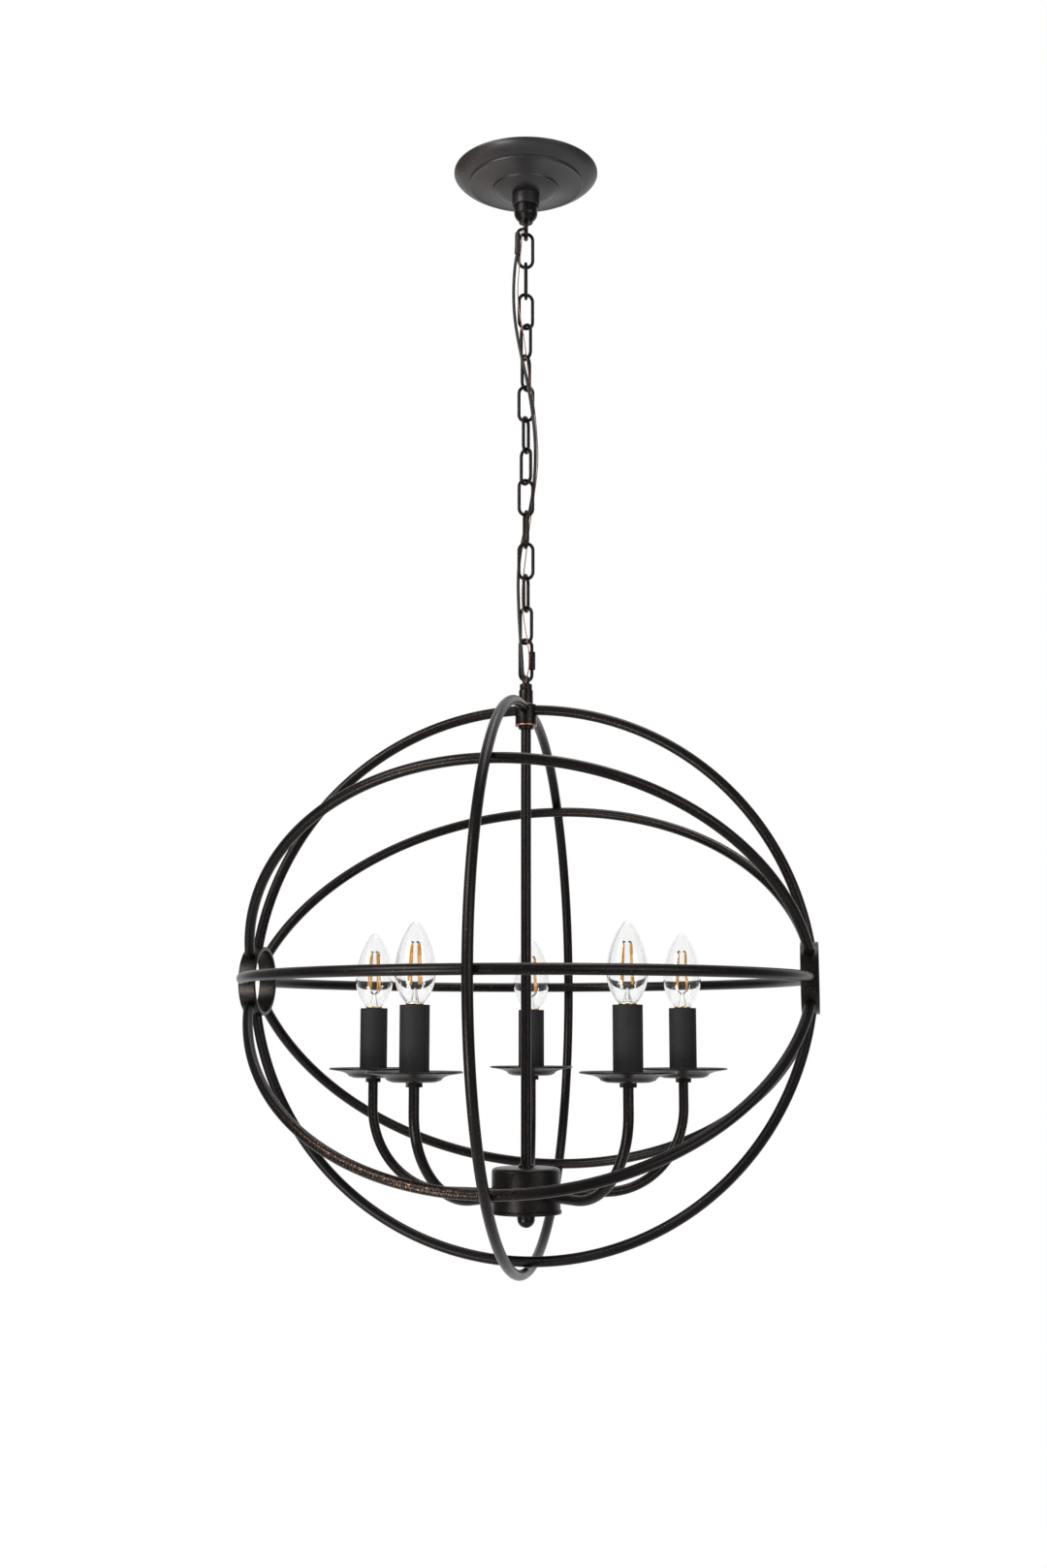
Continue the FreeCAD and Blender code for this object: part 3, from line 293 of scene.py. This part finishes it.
holder = metal("holder_plastic", (0.02, 0.02, 0.02), (0.04, 0.04, 0.04), metallic=0, rough=0.55)
sheath = metal("cord_sheath", (0.009, 0.009, 0.009), (0.02, 0.02, 0.02), metallic=0, rough=0.5, scale=90)
bare_copper = metal("ground_copper", (0.30, 0.16, 0.12), (0.12, 0.06, 0.04), rough=0.35, metallic=0.9,
                    scale=90)
zinc = metal("zinc_steel", (0.45, 0.45, 0.46), (0.25, 0.25, 0.25), rough=0.4, metallic=1)
green = metal("green_screw", (0.03, 0.22, 0.07), (0.3, 0.3, 0.3), wear=0.74, metallic=0.6)
brass = metal("cap_brass", (0.70, 0.46, 0.15), (0.36, 0.21, 0.06), wear=0.66, rough=0.3, metallic=1,
              scale=120)
amber = metal("filament_amber", (0.78, 0.36, 0.035), (0.55, 0.20, 0.02), wear=0.6, metallic=0, rough=0.45,
              scale=200)
lead_wire = metal("lead_wire", (0.05, 0.04, 0.035), (0.2, 0.15, 0.1), rough=0.4, scale=200)
clear = glass("bulb_glass", (0.985, 0.99, 0.985))
print("finishes:", len(bpy.data.materials))

# %% [markdown]
# ## Repeated pieces
# Links, knurls and filaments each follow a rule, so node trees make them: a bar bent round an oval, and
# blocks or sticks set round a circle. Copies by hand would do too, but a tree keeps its sizes as named
# inputs. Each tree ends in Realize Instances, because the export drops instances.

# %% Node trees
def new_tree(name, inputs):
    tree = bpy.data.node_groups.new(name, "GeometryNodeTree")
    tree.interface.new_socket("Geometry", in_out="INPUT", socket_type="NodeSocketGeometry")
    for label, kind, value in inputs:
        socket = tree.interface.new_socket(label, in_out="INPUT", socket_type="NodeSocket" + kind)
        if value is not None:
            socket.default_value = value
    tree.interface.new_socket("Geometry", in_out="OUTPUT", socket_type="NodeSocketGeometry")
    return tree, tree.nodes.new("NodeGroupInput"), tree.nodes.new("NodeGroupOutput")


def finish_tree(tree, source, given, result):
    realize, paint = tree.nodes.new("GeometryNodeRealizeInstances"), tree.nodes.new("GeometryNodeSetMaterial")
    tree.links.new(source, realize.inputs[0])
    tree.links.new(realize.outputs[0], paint.inputs["Geometry"])
    tree.links.new(given.outputs["Material"], paint.inputs["Material"])
    tree.links.new(paint.outputs[0], result.inputs[0])


def grow(name, tree, values, path=()):
    """Runs the tree on a closed path, and returns a plain mesh piece."""
    mesh = bpy.data.meshes.new(name + "_path")
    edges = [(i, (i + 1) % len(path)) for i in range(len(path))]
    mesh.from_pydata([tuple(c * MM for c in p) for p in path], edges, [])
    source = bpy.data.objects.new(name + "_path", mesh)
    bpy.context.scene.collection.objects.link(source)
    modifier = source.modifiers.new("tree", "NODES")
    modifier.node_group = tree
    for item in tree.interface.items_tree:
        if item.in_out == "INPUT" and item.name in values:
            modifier[item.identifier] = values[item.name]
    bpy.context.view_layer.update()
    seen = source.evaluated_get(bpy.context.evaluated_depsgraph_get())
    made = bpy.data.meshes.new_from_object(seen)
    bpy.data.objects.remove(source)
    made.shade_smooth()
    made.set_sharp_from_angle(angle=math.radians(40))
    piece = bpy.data.objects.new(name, made)
    bpy.context.scene.collection.objects.link(piece)
    return piece


# %% A bar bent round an oval
oval_tree, given, result = new_tree("bent_oval", [
    ("Wire", "Float", 0.0016), ("Sides", "Int", 20), ("Material", "Material", None),
])
to_curve = oval_tree.nodes.new("GeometryNodeMeshToCurve")
circle = oval_tree.nodes.new("GeometryNodeCurvePrimitiveCircle")
sweep = oval_tree.nodes.new("GeometryNodeCurveToMesh")
oval_tree.links.new(given.outputs["Geometry"], to_curve.inputs[0])
oval_tree.links.new(given.outputs["Wire"], circle.inputs["Radius"])
oval_tree.links.new(given.outputs["Sides"], circle.inputs["Resolution"])
oval_tree.links.new(to_curve.outputs[0], sweep.inputs["Curve"])
oval_tree.links.new(circle.outputs[0], sweep.inputs["Profile Curve"])
finish_tree(oval_tree, sweep.outputs[0], given, result)
print("oval tree:", len(oval_tree.nodes), "nodes")


# %% Blocks or sticks round a circle
def round_tree(name, ribs):
    """Ribs (blocks) or sticks (rods) on a circle, each turned to face outward."""
    tree, given, result = new_tree(name, [
        ("Count", "Int", 4), ("Radius", "Float", 0.0056),
        ("Width", "Float", 0.001), ("Height", "Float", 0.034),
        ("Centre", "Vector", (0, 0, 0)), ("Start", "Float", 0.785398), ("Lean", "Float", 0.0),
        ("Material", "Material", None),
    ])
    add, link = tree.nodes.new, tree.links.new
    points, place = add("GeometryNodeMeshCircle"), add("GeometryNodeInstanceOnPoints")
    shape = add("GeometryNodeMeshCube" if ribs else "GeometryNodeMeshCylinder")
    link(given.outputs["Count"], points.inputs["Vertices"])
    link(given.outputs["Radius"], points.inputs["Radius"])
    if ribs:
        size = add("ShaderNodeCombineXYZ")
        for axis, label in zip("XYZ", ("Width", "Width", "Height")):
            link(given.outputs[label], size.inputs[axis])
        link(size.outputs[0], shape.inputs["Size"])
    else:
        shape.inputs["Vertices"].default_value = 14
        link(given.outputs["Width"], shape.inputs["Radius"])
        link(given.outputs["Height"], shape.inputs["Depth"])
    index, step, turn = add("GeometryNodeInputIndex"), add("ShaderNodeMath"), add("ShaderNodeMath")
    rotation = add("ShaderNodeCombineXYZ")
    step.operation, turn.operation = "DIVIDE", "MULTIPLY"
    step.inputs[0].default_value = 2 * math.pi
    link(given.outputs["Count"], step.inputs[1])
    link(step.outputs[0], turn.inputs[0])
    link(index.outputs[0], turn.inputs[1])
    link(turn.outputs[0], rotation.inputs["Z"])
    link(given.outputs["Lean"], rotation.inputs["Y"])
    link(points.outputs[0], place.inputs["Points"])
    link(shape.outputs[0], place.inputs["Instance"])
    link(rotation.outputs[0], place.inputs["Rotation"])
    move, about = add("GeometryNodeTransform"), add("ShaderNodeCombineXYZ")
    link(place.outputs[0], move.inputs["Geometry"])
    link(given.outputs["Centre"], move.inputs["Translation"])
    link(given.outputs["Start"], about.inputs["Z"])
    link(about.outputs[0], move.inputs["Rotation"])
    finish_tree(tree, move.outputs[0], given, result)
    return tree


rib_tree, stick_tree = round_tree("ribs_round_ring", True), round_tree("sticks_on_circle", False)
print("node trees:", [t.name for t in bpy.data.node_groups])

# %% [markdown]
# ## Canopy
# The real canopy is spun sheet: outer band, double ridge, shallow step, second ridge, small dome and a
# knurled screw ring. Its outline goes down the outside and back up the inside, so the dome has a real wall.
# The knurls are blocks round the ring, which catch the light as cut metal does.

# %% Canopy and ceiling loop
outside = (
    [(70, 0)] + between((70, -2), (55.4, -10.8), 22, -1) + [(55.5, -12.5), (54.6, -13.1), (53.9, -12.7)]
    + between((53.4, -12.6), (32.2, -16.3), 90, 1) + [(32, -17.9), (31.2, -18.5), (30.6, -18.3)]
    + between((30.2, -18.5), (15, -23), 26, -1)
)
inside = [(11.7, -23), (11.7, -21.8), (15, -21.8), (30, -16.8), (52, -11), (56, -9), (66, -5), (68.8, 0)]
dome = soft(outside + inside, 0.5, closed=True, steps=3)
put(turned("canopy_dome", [dome], steps=144), "canopy", canopy_bronze_painted_light, "bronze", "canopy")
ring_outline = soft([(13.1, -23), (13.1, -35), (11.6, -35), (11.6, -23)], 0.6, closed=True)
put(turned("canopy_ring_body", [ring_outline]), "canopy", canopy_bronze_painted_light, "bronze", "canopy_ring")
put(grow("canopy_ring_knurls", rib_tree, {
    "Count": 60, "Radius": 0.0129, "Width": 0.0009, "Height": 0.0104, "Centre": (0, 0, -0.029), "Start": 0.0,
    "Material": canopy_bronze_painted_light}), "canopy", canopy_bronze_painted_light, "bronze")

# %% Ceiling loop
loop_body = [
    (0, -11), (11.4, -11), (11.4, -43), (10.6, -45.5), (8.9, -48), (7.2, -49.7), (6.8, -50.4), (6.8, -52), (0, -52),
]
put(turned("ceiling_loop_body", [soft(loop_body, 0.5)]), "ceiling_mount", bronze, "bronze", "ceiling_loop")


def flat(angle):
    return Vector((math.cos(math.radians(angle)), math.sin(math.radians(angle)), 0))


def eye(angle, reach, drop, steps=48):
    return [flat(angle) * reach * math.cos(t) + Vector((0, 0, reach * math.sin(t) - drop))
            for t in (2 * math.pi * k / steps for k in range(steps))]


ceiling_eye = bars("ceiling_eye", [eye(100, 8.8, 58.6)], 2.2, 24, True)
put(ceiling_eye, "ceiling_mount", bronze, "bronze", "ceiling_loop")

# %% [markdown]
# ## Chain
# A chain could be one array, but each link swings by itself, so each is its own piece on its own body. The
# tree bends the same oval, turned as that link hangs in the photograph. The quick link is open on one leg,
# under its nut.

# %% Links and quick link
def oval(angle, top, height, width, wire):
    r, out = (width - wire) / 2, []
    half = (height - wire) / 2 - r
    for start, side in ((0, 1), (180, -1)):
        for k in range(17):
            a = math.radians(start + 180 * k / 16)
            rise = r * math.sin(a) + side * half - top - height / 2
            out.append(flat(angle) * r * math.cos(a) + Vector((0, 0, rise)))
    return out


TURNS = (10, 98, 24, -38, 68, 6, 79, -38, 24, -66, 6, 82, -28)
PITCH = 31.1
for k, turn in enumerate(TURNS, 1):
    name = f"link_{k:02d}"
    path = oval(turn, 61.7 + PITCH * (k - 1), 37.8, 16.5, 3.2)
    put(grow(name + "_oval", oval_tree, {"Wire": 0.0016, "Sides": 20, "Material": chain_bronze}, path), name,
        chain_bronze, "bronze", name)

# %% Quick link and its nut
QUICK_TURN, QUICK_MIDDLE, QUICK_REACH = 34, -487.3, 6.05
whole = oval(QUICK_TURN, 466, 42.6, 15.3, 3.2)
leg = [flat(QUICK_TURN) * QUICK_REACH + Vector((0, 0, QUICK_MIDDLE + s)) for s in (4, -4)]
quick_link = bars("quick_link_oval", [[leg[0]] + whole + [leg[1]]], 1.6)
put(quick_link, "quick_link", chain_bronze, "bronze", "quick_link")
nut = soft([(3.3, 8.5), (3.3, -8.5), (1.7, -8.5), (1.7, 8.5)], 0.5, closed=True)
nut_place = tuple(flat(QUICK_TURN) * QUICK_REACH + Vector((0, 0, QUICK_MIDDLE)))
nut_piece = turned("quick_link_sleeve", [nut], [nut_place], 48)
put(nut_piece, "quick_link_nut", chain_bronze, "bronze", "quick_link_nut")

# %% [markdown]
# ## Cord and ground wire
# Both follow one smooth curve from the ceiling loop to the fixture loop, cut into one length per chain joint. Each
# length spans its joint, and the cuts sit at the middle of the links, where nothing bends.

# %% Cord, wire and splice
CORD = (
    (0, 0, -52.35), (0, 0, -57.2), (-6, -5.4, -61), (-7, -6.6, -65), (-7, -6.6, -77), (-7.5, -6.3, -86),
    (-10.2, -4.6, -98), (-11.8, -3.6, -125.5), (-9.7, -6.5, -155), (-4, -9.8, -185.6), (2.6, -9.2, -215),
    (7.8, -5, -249), (9.5, 1.1, -283), (6.8, 6.6, -315), (1, 10.1, -345), (-6.2, 9.1, -373), (-8.4, 4, -402),
    (-6.8, -2.1, -434), (-4.5, -6.3, -464), (-2.3, -8.5, -487), (-1.3, -11.5, -501.5), (-0.8, -4.4, -504.9),
    (-0.8, -4.4, -510.4),
)
WIRE = (
    (0.4, -2.3, -52.75), (0.4, -2.3, -55.5), (-2.9, -5.9, -60), (-3.3, -6.2, -77), (-5.6, -5.2, -98),
    (-7.6, -4.9, -125.5), (-5.1, -5.4, -148), (-0.6, -5.5, -172), (3, -4.9, -205), (8.7, -2.4, -240),
    (10.7, 0.6, -268), (11.4, 4.1, -295), (6.4, 5.7, -330), (1.6, 6.7, -360), (-2.1, 5, -395),
    (-4.7, 0.7, -424),
    (-1.2, -3.3, -452), (3.8, -5, -478), (4.2, -7.3, -498), (1.1, -5.7, -506), (1.1, -5.7, -510.4),
)
MIDDLES = [-(80.6 + PITCH * k) for k in range(13)] + [QUICK_MIDDLE]


# %% Lengths of cord, one per chain joint
def smooth_path(name, points):
    curve = bpy.data.curves.new(name, "CURVE")
    curve.dimensions, curve.resolution_u = "3D", 14
    spline = curve.splines.new("NURBS")
    spline.points.add(len(points) - 1)
    for slot, p in zip(spline.points, points):
        slot.co = (*p, 1)
    spline.order_u, spline.use_endpoint_u = 3, True
    run = bpy.data.objects.new(name, curve)
    bpy.context.scene.collection.objects.link(run)
    path = [v.co.copy() for v in run.to_mesh().vertices]
    run.to_mesh_clear()
    bpy.data.objects.remove(run)
    if path[0].z < path[-1].z:
        path.reverse()
    return path


def hang(name, points, radius, sides, material, node):
    path = smooth_path(name, points)
    cuts = [0] + [min(range(len(path)), key=lambda i: abs(path[i].z - z)) for z in MIDDLES] + [len(path) - 1]
    rings = rings_along(path, radius, sides)
    for k, (a, b) in enumerate(zip(cuts, cuts[1:])):
        piece = mesh_piece(f"{name}_{k + 1:02d}", *skin(rings[a:b + 1]), 60)
        piece.data.materials.append(material)
        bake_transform(piece)
        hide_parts(node)
    print(name, "lengths:", len(cuts) - 1, "points:", len(path))
    return path


cord_path = hang("cord", CORD, 1.5, 16, sheath, "supply_cord")
hang("bare_wire", WIRE, 0.5, 10, bare_copper, "ground_wire")
splice = bars("cord_splice", [[p for p in cord_path if -86 < p.z < -64.5]], 2.6, 24)
splice.data.materials.append(sheath)
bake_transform(splice)

# %% [markdown]
# ## Orb
# Eight half hoops run between the side hubs, 45 degrees apart. One ring crosses them outside, and is drawn
# in to the hub. Whole circles would look much the same from the front, but the real bars end on the hubs,
# so these do too.

# %% Fixture loop, hub and hoops
CENTRE = -785.0
put(bars("fixture_eye", [eye(124, 4.6, 508.1)], 1.6, 20, True), "orb", bronze, "bronze", "fixture_loop")
stem_outline = [(0, -510.4), (5.8, -510.4), (5.8, -516), (0, -516)]
put(turned("fixture_loop_body", [soft(stem_outline, 0.6)]), "orb", bronze, "bronze", "fixture_loop")
coupling = soft([(0, -516), (6.6, -516), (6.6, -530), (0, -530)], 0.7)
put(turned("coupling", [coupling]), "orb", bronze, "bronze", "loop_coupling")
hub = [(0, -530), (10, -530), (10, -550), (7, -550), (7, -553), (0, -553)]
put(turned("hub", [soft(hub, 0.8)]), "orb", bronze, "bronze", "top_hub")
edges = [soft([(r + 0.12, z + 1.1), (r + 0.12, z), (r - 0.9, z), (r - 0.9, z + 1.1)], 0.25, closed=True)
         for r, z in ((6.6, -529.95), (10, -550.05))]
put(turned("copper_edges", edges), "orb", edge_copper, "bronze")

# %% Half hoops, crossing ring and side hubs
HOOPS = ("up", "front_up", "front", "front_down", "down", "back_down", "back", "back_up")
start = math.asin(40 / 259)
for k, label in enumerate(HOOPS):
    out = Vector((0, -math.sin(math.radians(45 * k)), math.cos(math.radians(45 * k))))
    path = [
        Vector((259 * math.cos(t), 0, CENTRE)) + out * (259 * math.sin(t) - 9)
        for t in (start + (math.pi - 2 * start) * j / 128 for j in range(129))
    ]
    hoop_finish = speckled if label in ("front_down", "down") else bronze
    put(bars("half_hoop_" + label, [path], 4.75, 24), "orb", hoop_finish, "bronze", "hoop_" + label)

bend = arc(23.59, 28.11, 223, 93.75, 50, 24)
ring_path = bend + arc(0, 0, 259.55, 50, -230, 200)[1:-1] + [(-y, z) for y, z in reversed(bend)]
crossing = bars("crossing_ring", [[(0, y, z + CENTRE) for y, z in ring_path]], 4.65, 24)
put(crossing, "orb", bronze, "bronze", "ring_crossing")
tube = soft([(32, 8), (32, -8), (28.5, -8), (28.5, 8)], 0.9, closed=True)
for side, label in ((-1, "left"), (1, "right")):
    lie = Matrix.Translation((side * 255.7, 0, CENTRE)) @ Matrix.Rotation(math.radians(90), 4, "Y")
    put(turned("side_tube_" + label, [tube], along=lie), "orb", bronze, "bronze", "side_hubs")

# %% [markdown]
# ## Rod, cup and arms
# A rod down the middle carries a cup, and five tubes leave the cup level and bend up to the lights. The
# cup's rounded shoulder is an arc in its outline, so it takes one broad highlight, as the pressed metal
# does.

# %% Rod, cup, cover and finial
rod = bars("rod", [[(0, 0, z) for z in (-551, -700, -850, -955)]], 4.75, 24)
put(rod, "orb", bronze, "bronze", "down_rod")
cup = [(0, -950.1), (7, -950.1), (7, -952.7), (27, -952.7)]
cup += arc(27, -956.7, 4, 90, 0, 8)[1:] + [(31, -990), (0, -990)]
put(turned("cup", [soft(cup, 0.5)]), "orb", bronze, "bronze", "cluster_cup")
lid = soft([(0, -990), (32, -990), (32, -993), (0, -993)], 0.6)
put(turned("cup_lid", [lid]), "orb", bronze, "bronze", "cluster_cover")
ball = [(0, -993), (8, -993), (8, -997.7)] + arc(0, -997.7, 8, 0, -90, 12)[1:-1] + [(0, -1005.7)]
put(turned("ball", [ball], steps=48), "orb", bronze, "bronze", "finial")

# %% Arms
LIGHTS = ((136.6, 66.6), (-21.2, 150.5), (-149.7, 26.4), (-71.4, -134.2), (105.6, -109.3))
for k, (x, y) in enumerate(LIGHTS, 1):
    out = Vector((x, y, 0)).normalized()
    path = [out * 27 + Vector((0, 0, -976)), out * 55 + Vector((0, 0, -976))]
    path += [out * r + Vector((0, 0, z - 901)) for r, z in arc(77, 0, 75, -90, 0, 28)]
    path.append(Vector((x, y, -871)))
    put(bars(f"arm_tube_{k}", [path], 4.5, 24), "orb", bronze, "bronze", f"arm_{k}")

# %% [markdown]
# ## Lights
# Each pan is a flat flange with a rolled edge, a lens-like step and a shallow bowl. The sleeve stands in
# it. A bulb is a clear shell with an inner and an outer face, because light bends right only through a
# glass that has both. Inside are the cap, a glass stem, four filament sticks that lean a little, and the
# thin leads that hook over them.

# %% Pans and sleeves
SPOTS = [(x, y, 0) for x, y in LIGHTS]
top_side = [
    (40.2, -865.6), (31, -867.2), (28.6, -867.7), (26.2, -868.6), (24.5, -869.6), (23.2, -871.2),
    (19, -873.2), (12, -873.6), (0, -873.6),
]
low_side = [
    (0, -874.5), (12, -874.5), (18, -874.4), (22.6, -872.9), (24.6, -870.6), (26.6, -869.7),
    (29, -868.8), (31.2, -868.4), (40.2, -866.8),
]
pan = list(reversed(top_side)) + arc(40.1, -866.1, 0.9, 70, -70, 6) + list(reversed(low_side))
put(turned("drip_pans", [pan], SPOTS, 72), "orb", bronze, "bronze", "pans")
sleeve = soft([(12.7, -810), (12.7, -873.3), (11.7, -873.3), (11.7, -810)], 0.35, closed=True)
put(turned("candle_sleeves", [sleeve], SPOTS, 64), "orb", candle_black, "candle_black", "candles")


# %% Bulbs
def bulb_outline(inset):
    low = arc(-21, 27, 38.5 - inset, -42, 0, 12)
    high = arc(-51.5, 27, 69 - inset, 0, 35.5, 16)[1:]
    tip = arc(0, 65, 5 - inset, 38, 90, 6)
    return [(7.4 - inset, 1)] + [p for p in low if p[1] > 1.5] + high + tip[1:-1] + [(0, 70 - inset)]


FOOT_LEAD = ((1, 13), (3.5, 14.5), (6, 16), (6.3, 17.4))
TOP_HOOK = ((4.8, 50.6), (4.5, 52.4), (3.4, 53), (2.2, 52))
for k, (x, y) in enumerate(LIGHTS, 1):
    body, place = f"bulb_{k}", [(x, y, -810)]
    shell = list(reversed(bulb_outline(0))) + [(6.6, 1)] + bulb_outline(0.8)[1:]
    put(turned(f"bulb_{k}_shell", [shell], place, 56), body, clear, "bulb_glass", f"bulb_{k}_glass")
    collar = soft([(0, 1.2), (7.6, 1.2), (7.7, 0.4), (7.2, -0.5), (6.2, -1.2), (6.2, -19), (0, -20)], 0.3)
    put(turned(f"bulb_{k}_cap", [collar], place, 40), body, brass, "bulb_core", f"bulb_{k}_core")
    stem = soft([(0, 14), (1.6, 14), (2.2, 9), (3.4, 4), (3.4, 1.1), (0, 1.1)], 0.6)
    put(turned(f"bulb_{k}_stem", [stem], place, 24), body, clear, "bulb_core")
    put(grow(f"bulb_{k}_filaments", stick_tree, {
        "Count": 4, "Radius": 0.0056, "Width": 0.0009, "Height": 0.034,
        "Centre": (x * MM, y * MM, -0.776), "Start": math.radians(45), "Lean": -0.05,
        "Material": amber}), body, amber, "bulb_core")
    leads = []
    for quarter in range(4):
        away = flat(45 + 90 * quarter)
        for wire in (FOOT_LEAD, TOP_HOOK):
            leads.append([Vector((x, y, -810)) + away * r + Vector((0, 0, 1)) * z for r, z in wire])
    put(bars(f"bulb_{k}_leads", leads, 0.4, 8), body, lead_wire, "bulb_core")

# %% [markdown]
# ## Plain pieces
# The bracket, nuts and lampholders are mostly out of sight. They keep their own shapes, and only get a
# finish.

# %% Finishes of the kept shapes
for name, material in {
    "crossbar": zinc, "mounting_nipple": zinc, "nipple_nuts": zinc, "ground_screw": green,
    "lock_nuts": bronze, "lampholders": holder,
}.items():
    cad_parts[name].data.materials.clear()
    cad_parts[name].data.materials.append(material)
print("shown as they are:", [n for n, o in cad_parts.items() if not o.hide_render])

# %% [markdown]
# ## Studio
# A pale wall and floor, a camera at the photograph's place, and broad soft lights. The wall glows for the
# camera and in reflections, so that the background is even and the dark bars get thin pale edges. It is
# kept narrow, because glass shows its outline only where it bends something darker than the wall into view.

# %% Wall and floor
def pale(name):
    material = bpy.data.materials.new(name)
    material.use_nodes = True
    nodes, links = material.node_tree.nodes, material.node_tree.links
    nodes["Principled BSDF"].inputs["Base Color"].default_value = (0.8, 0.8, 0.8, 1)
    nodes["Principled BSDF"].inputs["Roughness"].default_value = 1
    ray, mix = nodes.new("ShaderNodeLightPath"), nodes.new("ShaderNodeMixShader")
    glow = nodes.new("ShaderNodeEmission")
    seen = ray.outputs["Is Camera Ray"]
    for label in ("Is Glossy Ray", "Is Transmission Ray"):
        either = nodes.new("ShaderNodeMath")
        either.operation = "MAXIMUM"
        links.new(seen, either.inputs[0])
        links.new(ray.outputs[label], either.inputs[1])
        seen = either.outputs[0]
    glow.inputs["Strength"].default_value = 1
    links.new(seen, mix.inputs[0])
    links.new(nodes["Principled BSDF"].outputs[0], mix.inputs[1])
    links.new(glow.outputs[0], mix.inputs[2])
    links.new(mix.outputs[0], nodes["Material Output"].inputs["Surface"])
    return material


white = pale("pale_studio")
LEFT, RIGHT, NEAR, FAR, LOW, HIGH = -3000, 2600, -1400, 2600, -2600, 3000
wall_corners = [(LEFT, FAR, LOW), (RIGHT, FAR, LOW), (RIGHT, FAR, HIGH), (LEFT, FAR, HIGH)]
floor_corners = [(LEFT, NEAR, LOW), (RIGHT, NEAR, LOW), (RIGHT, FAR, LOW), (LEFT, FAR, LOW)]
wall = mesh_piece("wall", wall_corners, [(0, 1, 2, 3)])
floor = mesh_piece("floor", floor_corners, [(0, 1, 2, 3)])
for piece in (wall, floor):
    piece.data.materials.append(white)

# %% Sky and lights
world = bpy.data.worlds.new("studio")
bpy.context.scene.world = world
world.use_nodes = True
world.node_tree.nodes["Background"].inputs["Color"].default_value = (0.75, 0.76, 0.78, 1)
world.node_tree.nodes["Background"].inputs["Strength"].default_value = 0.4
sky, links = world.node_tree.nodes, world.node_tree.links
seen, choice = sky.new("ShaderNodeLightPath"), sky.new("ShaderNodeMixShader")
pale_sky = sky.new("ShaderNodeBackground")
pale_sky.inputs["Color"].default_value = (1, 1, 1, 1)
links.new(seen.outputs["Is Camera Ray"], choice.inputs[0])
links.new(sky["Background"].outputs[0], choice.inputs[1])
links.new(pale_sky.outputs[0], choice.inputs[2])
links.new(choice.outputs[0], sky["World Output"].inputs["Surface"])
for name, place, size, power in (
    ("key", (-1.6, -2.0, 0.6), 1.4, 60),
    ("fill", (2.2, -1.8, -0.4), 1.8, 28),
    ("top", (0.2, 0.3, 1.3), 1.2, 26),
    ("low", (-0.9, -1.5, -1.7), 0.7, 22),
):
    data = bpy.data.lights.new(name, "AREA")
    data.size, data.energy = size, power
    lamp = bpy.data.objects.new(name, data)
    lamp.location = place
    lamp.rotation_euler = (Vector((0, 0, -0.7)) - Vector(place)).to_track_quat("-Z", "Y").to_euler()
    bpy.context.scene.collection.objects.link(lamp)

# %% Camera
lens = bpy.data.cameras.new("camera")
lens.lens, lens.sensor_width = 39.46, 36
camera = bpy.data.objects.new("camera", lens)
camera.location = (0.2736, -1.5538, -0.8375)
camera.rotation_euler = (math.radians(98.4), 0, math.radians(10.07))
bpy.context.scene.collection.objects.link(camera)
bpy.context.scene.camera = camera
bpy.context.scene.view_settings.view_transform = "Standard"
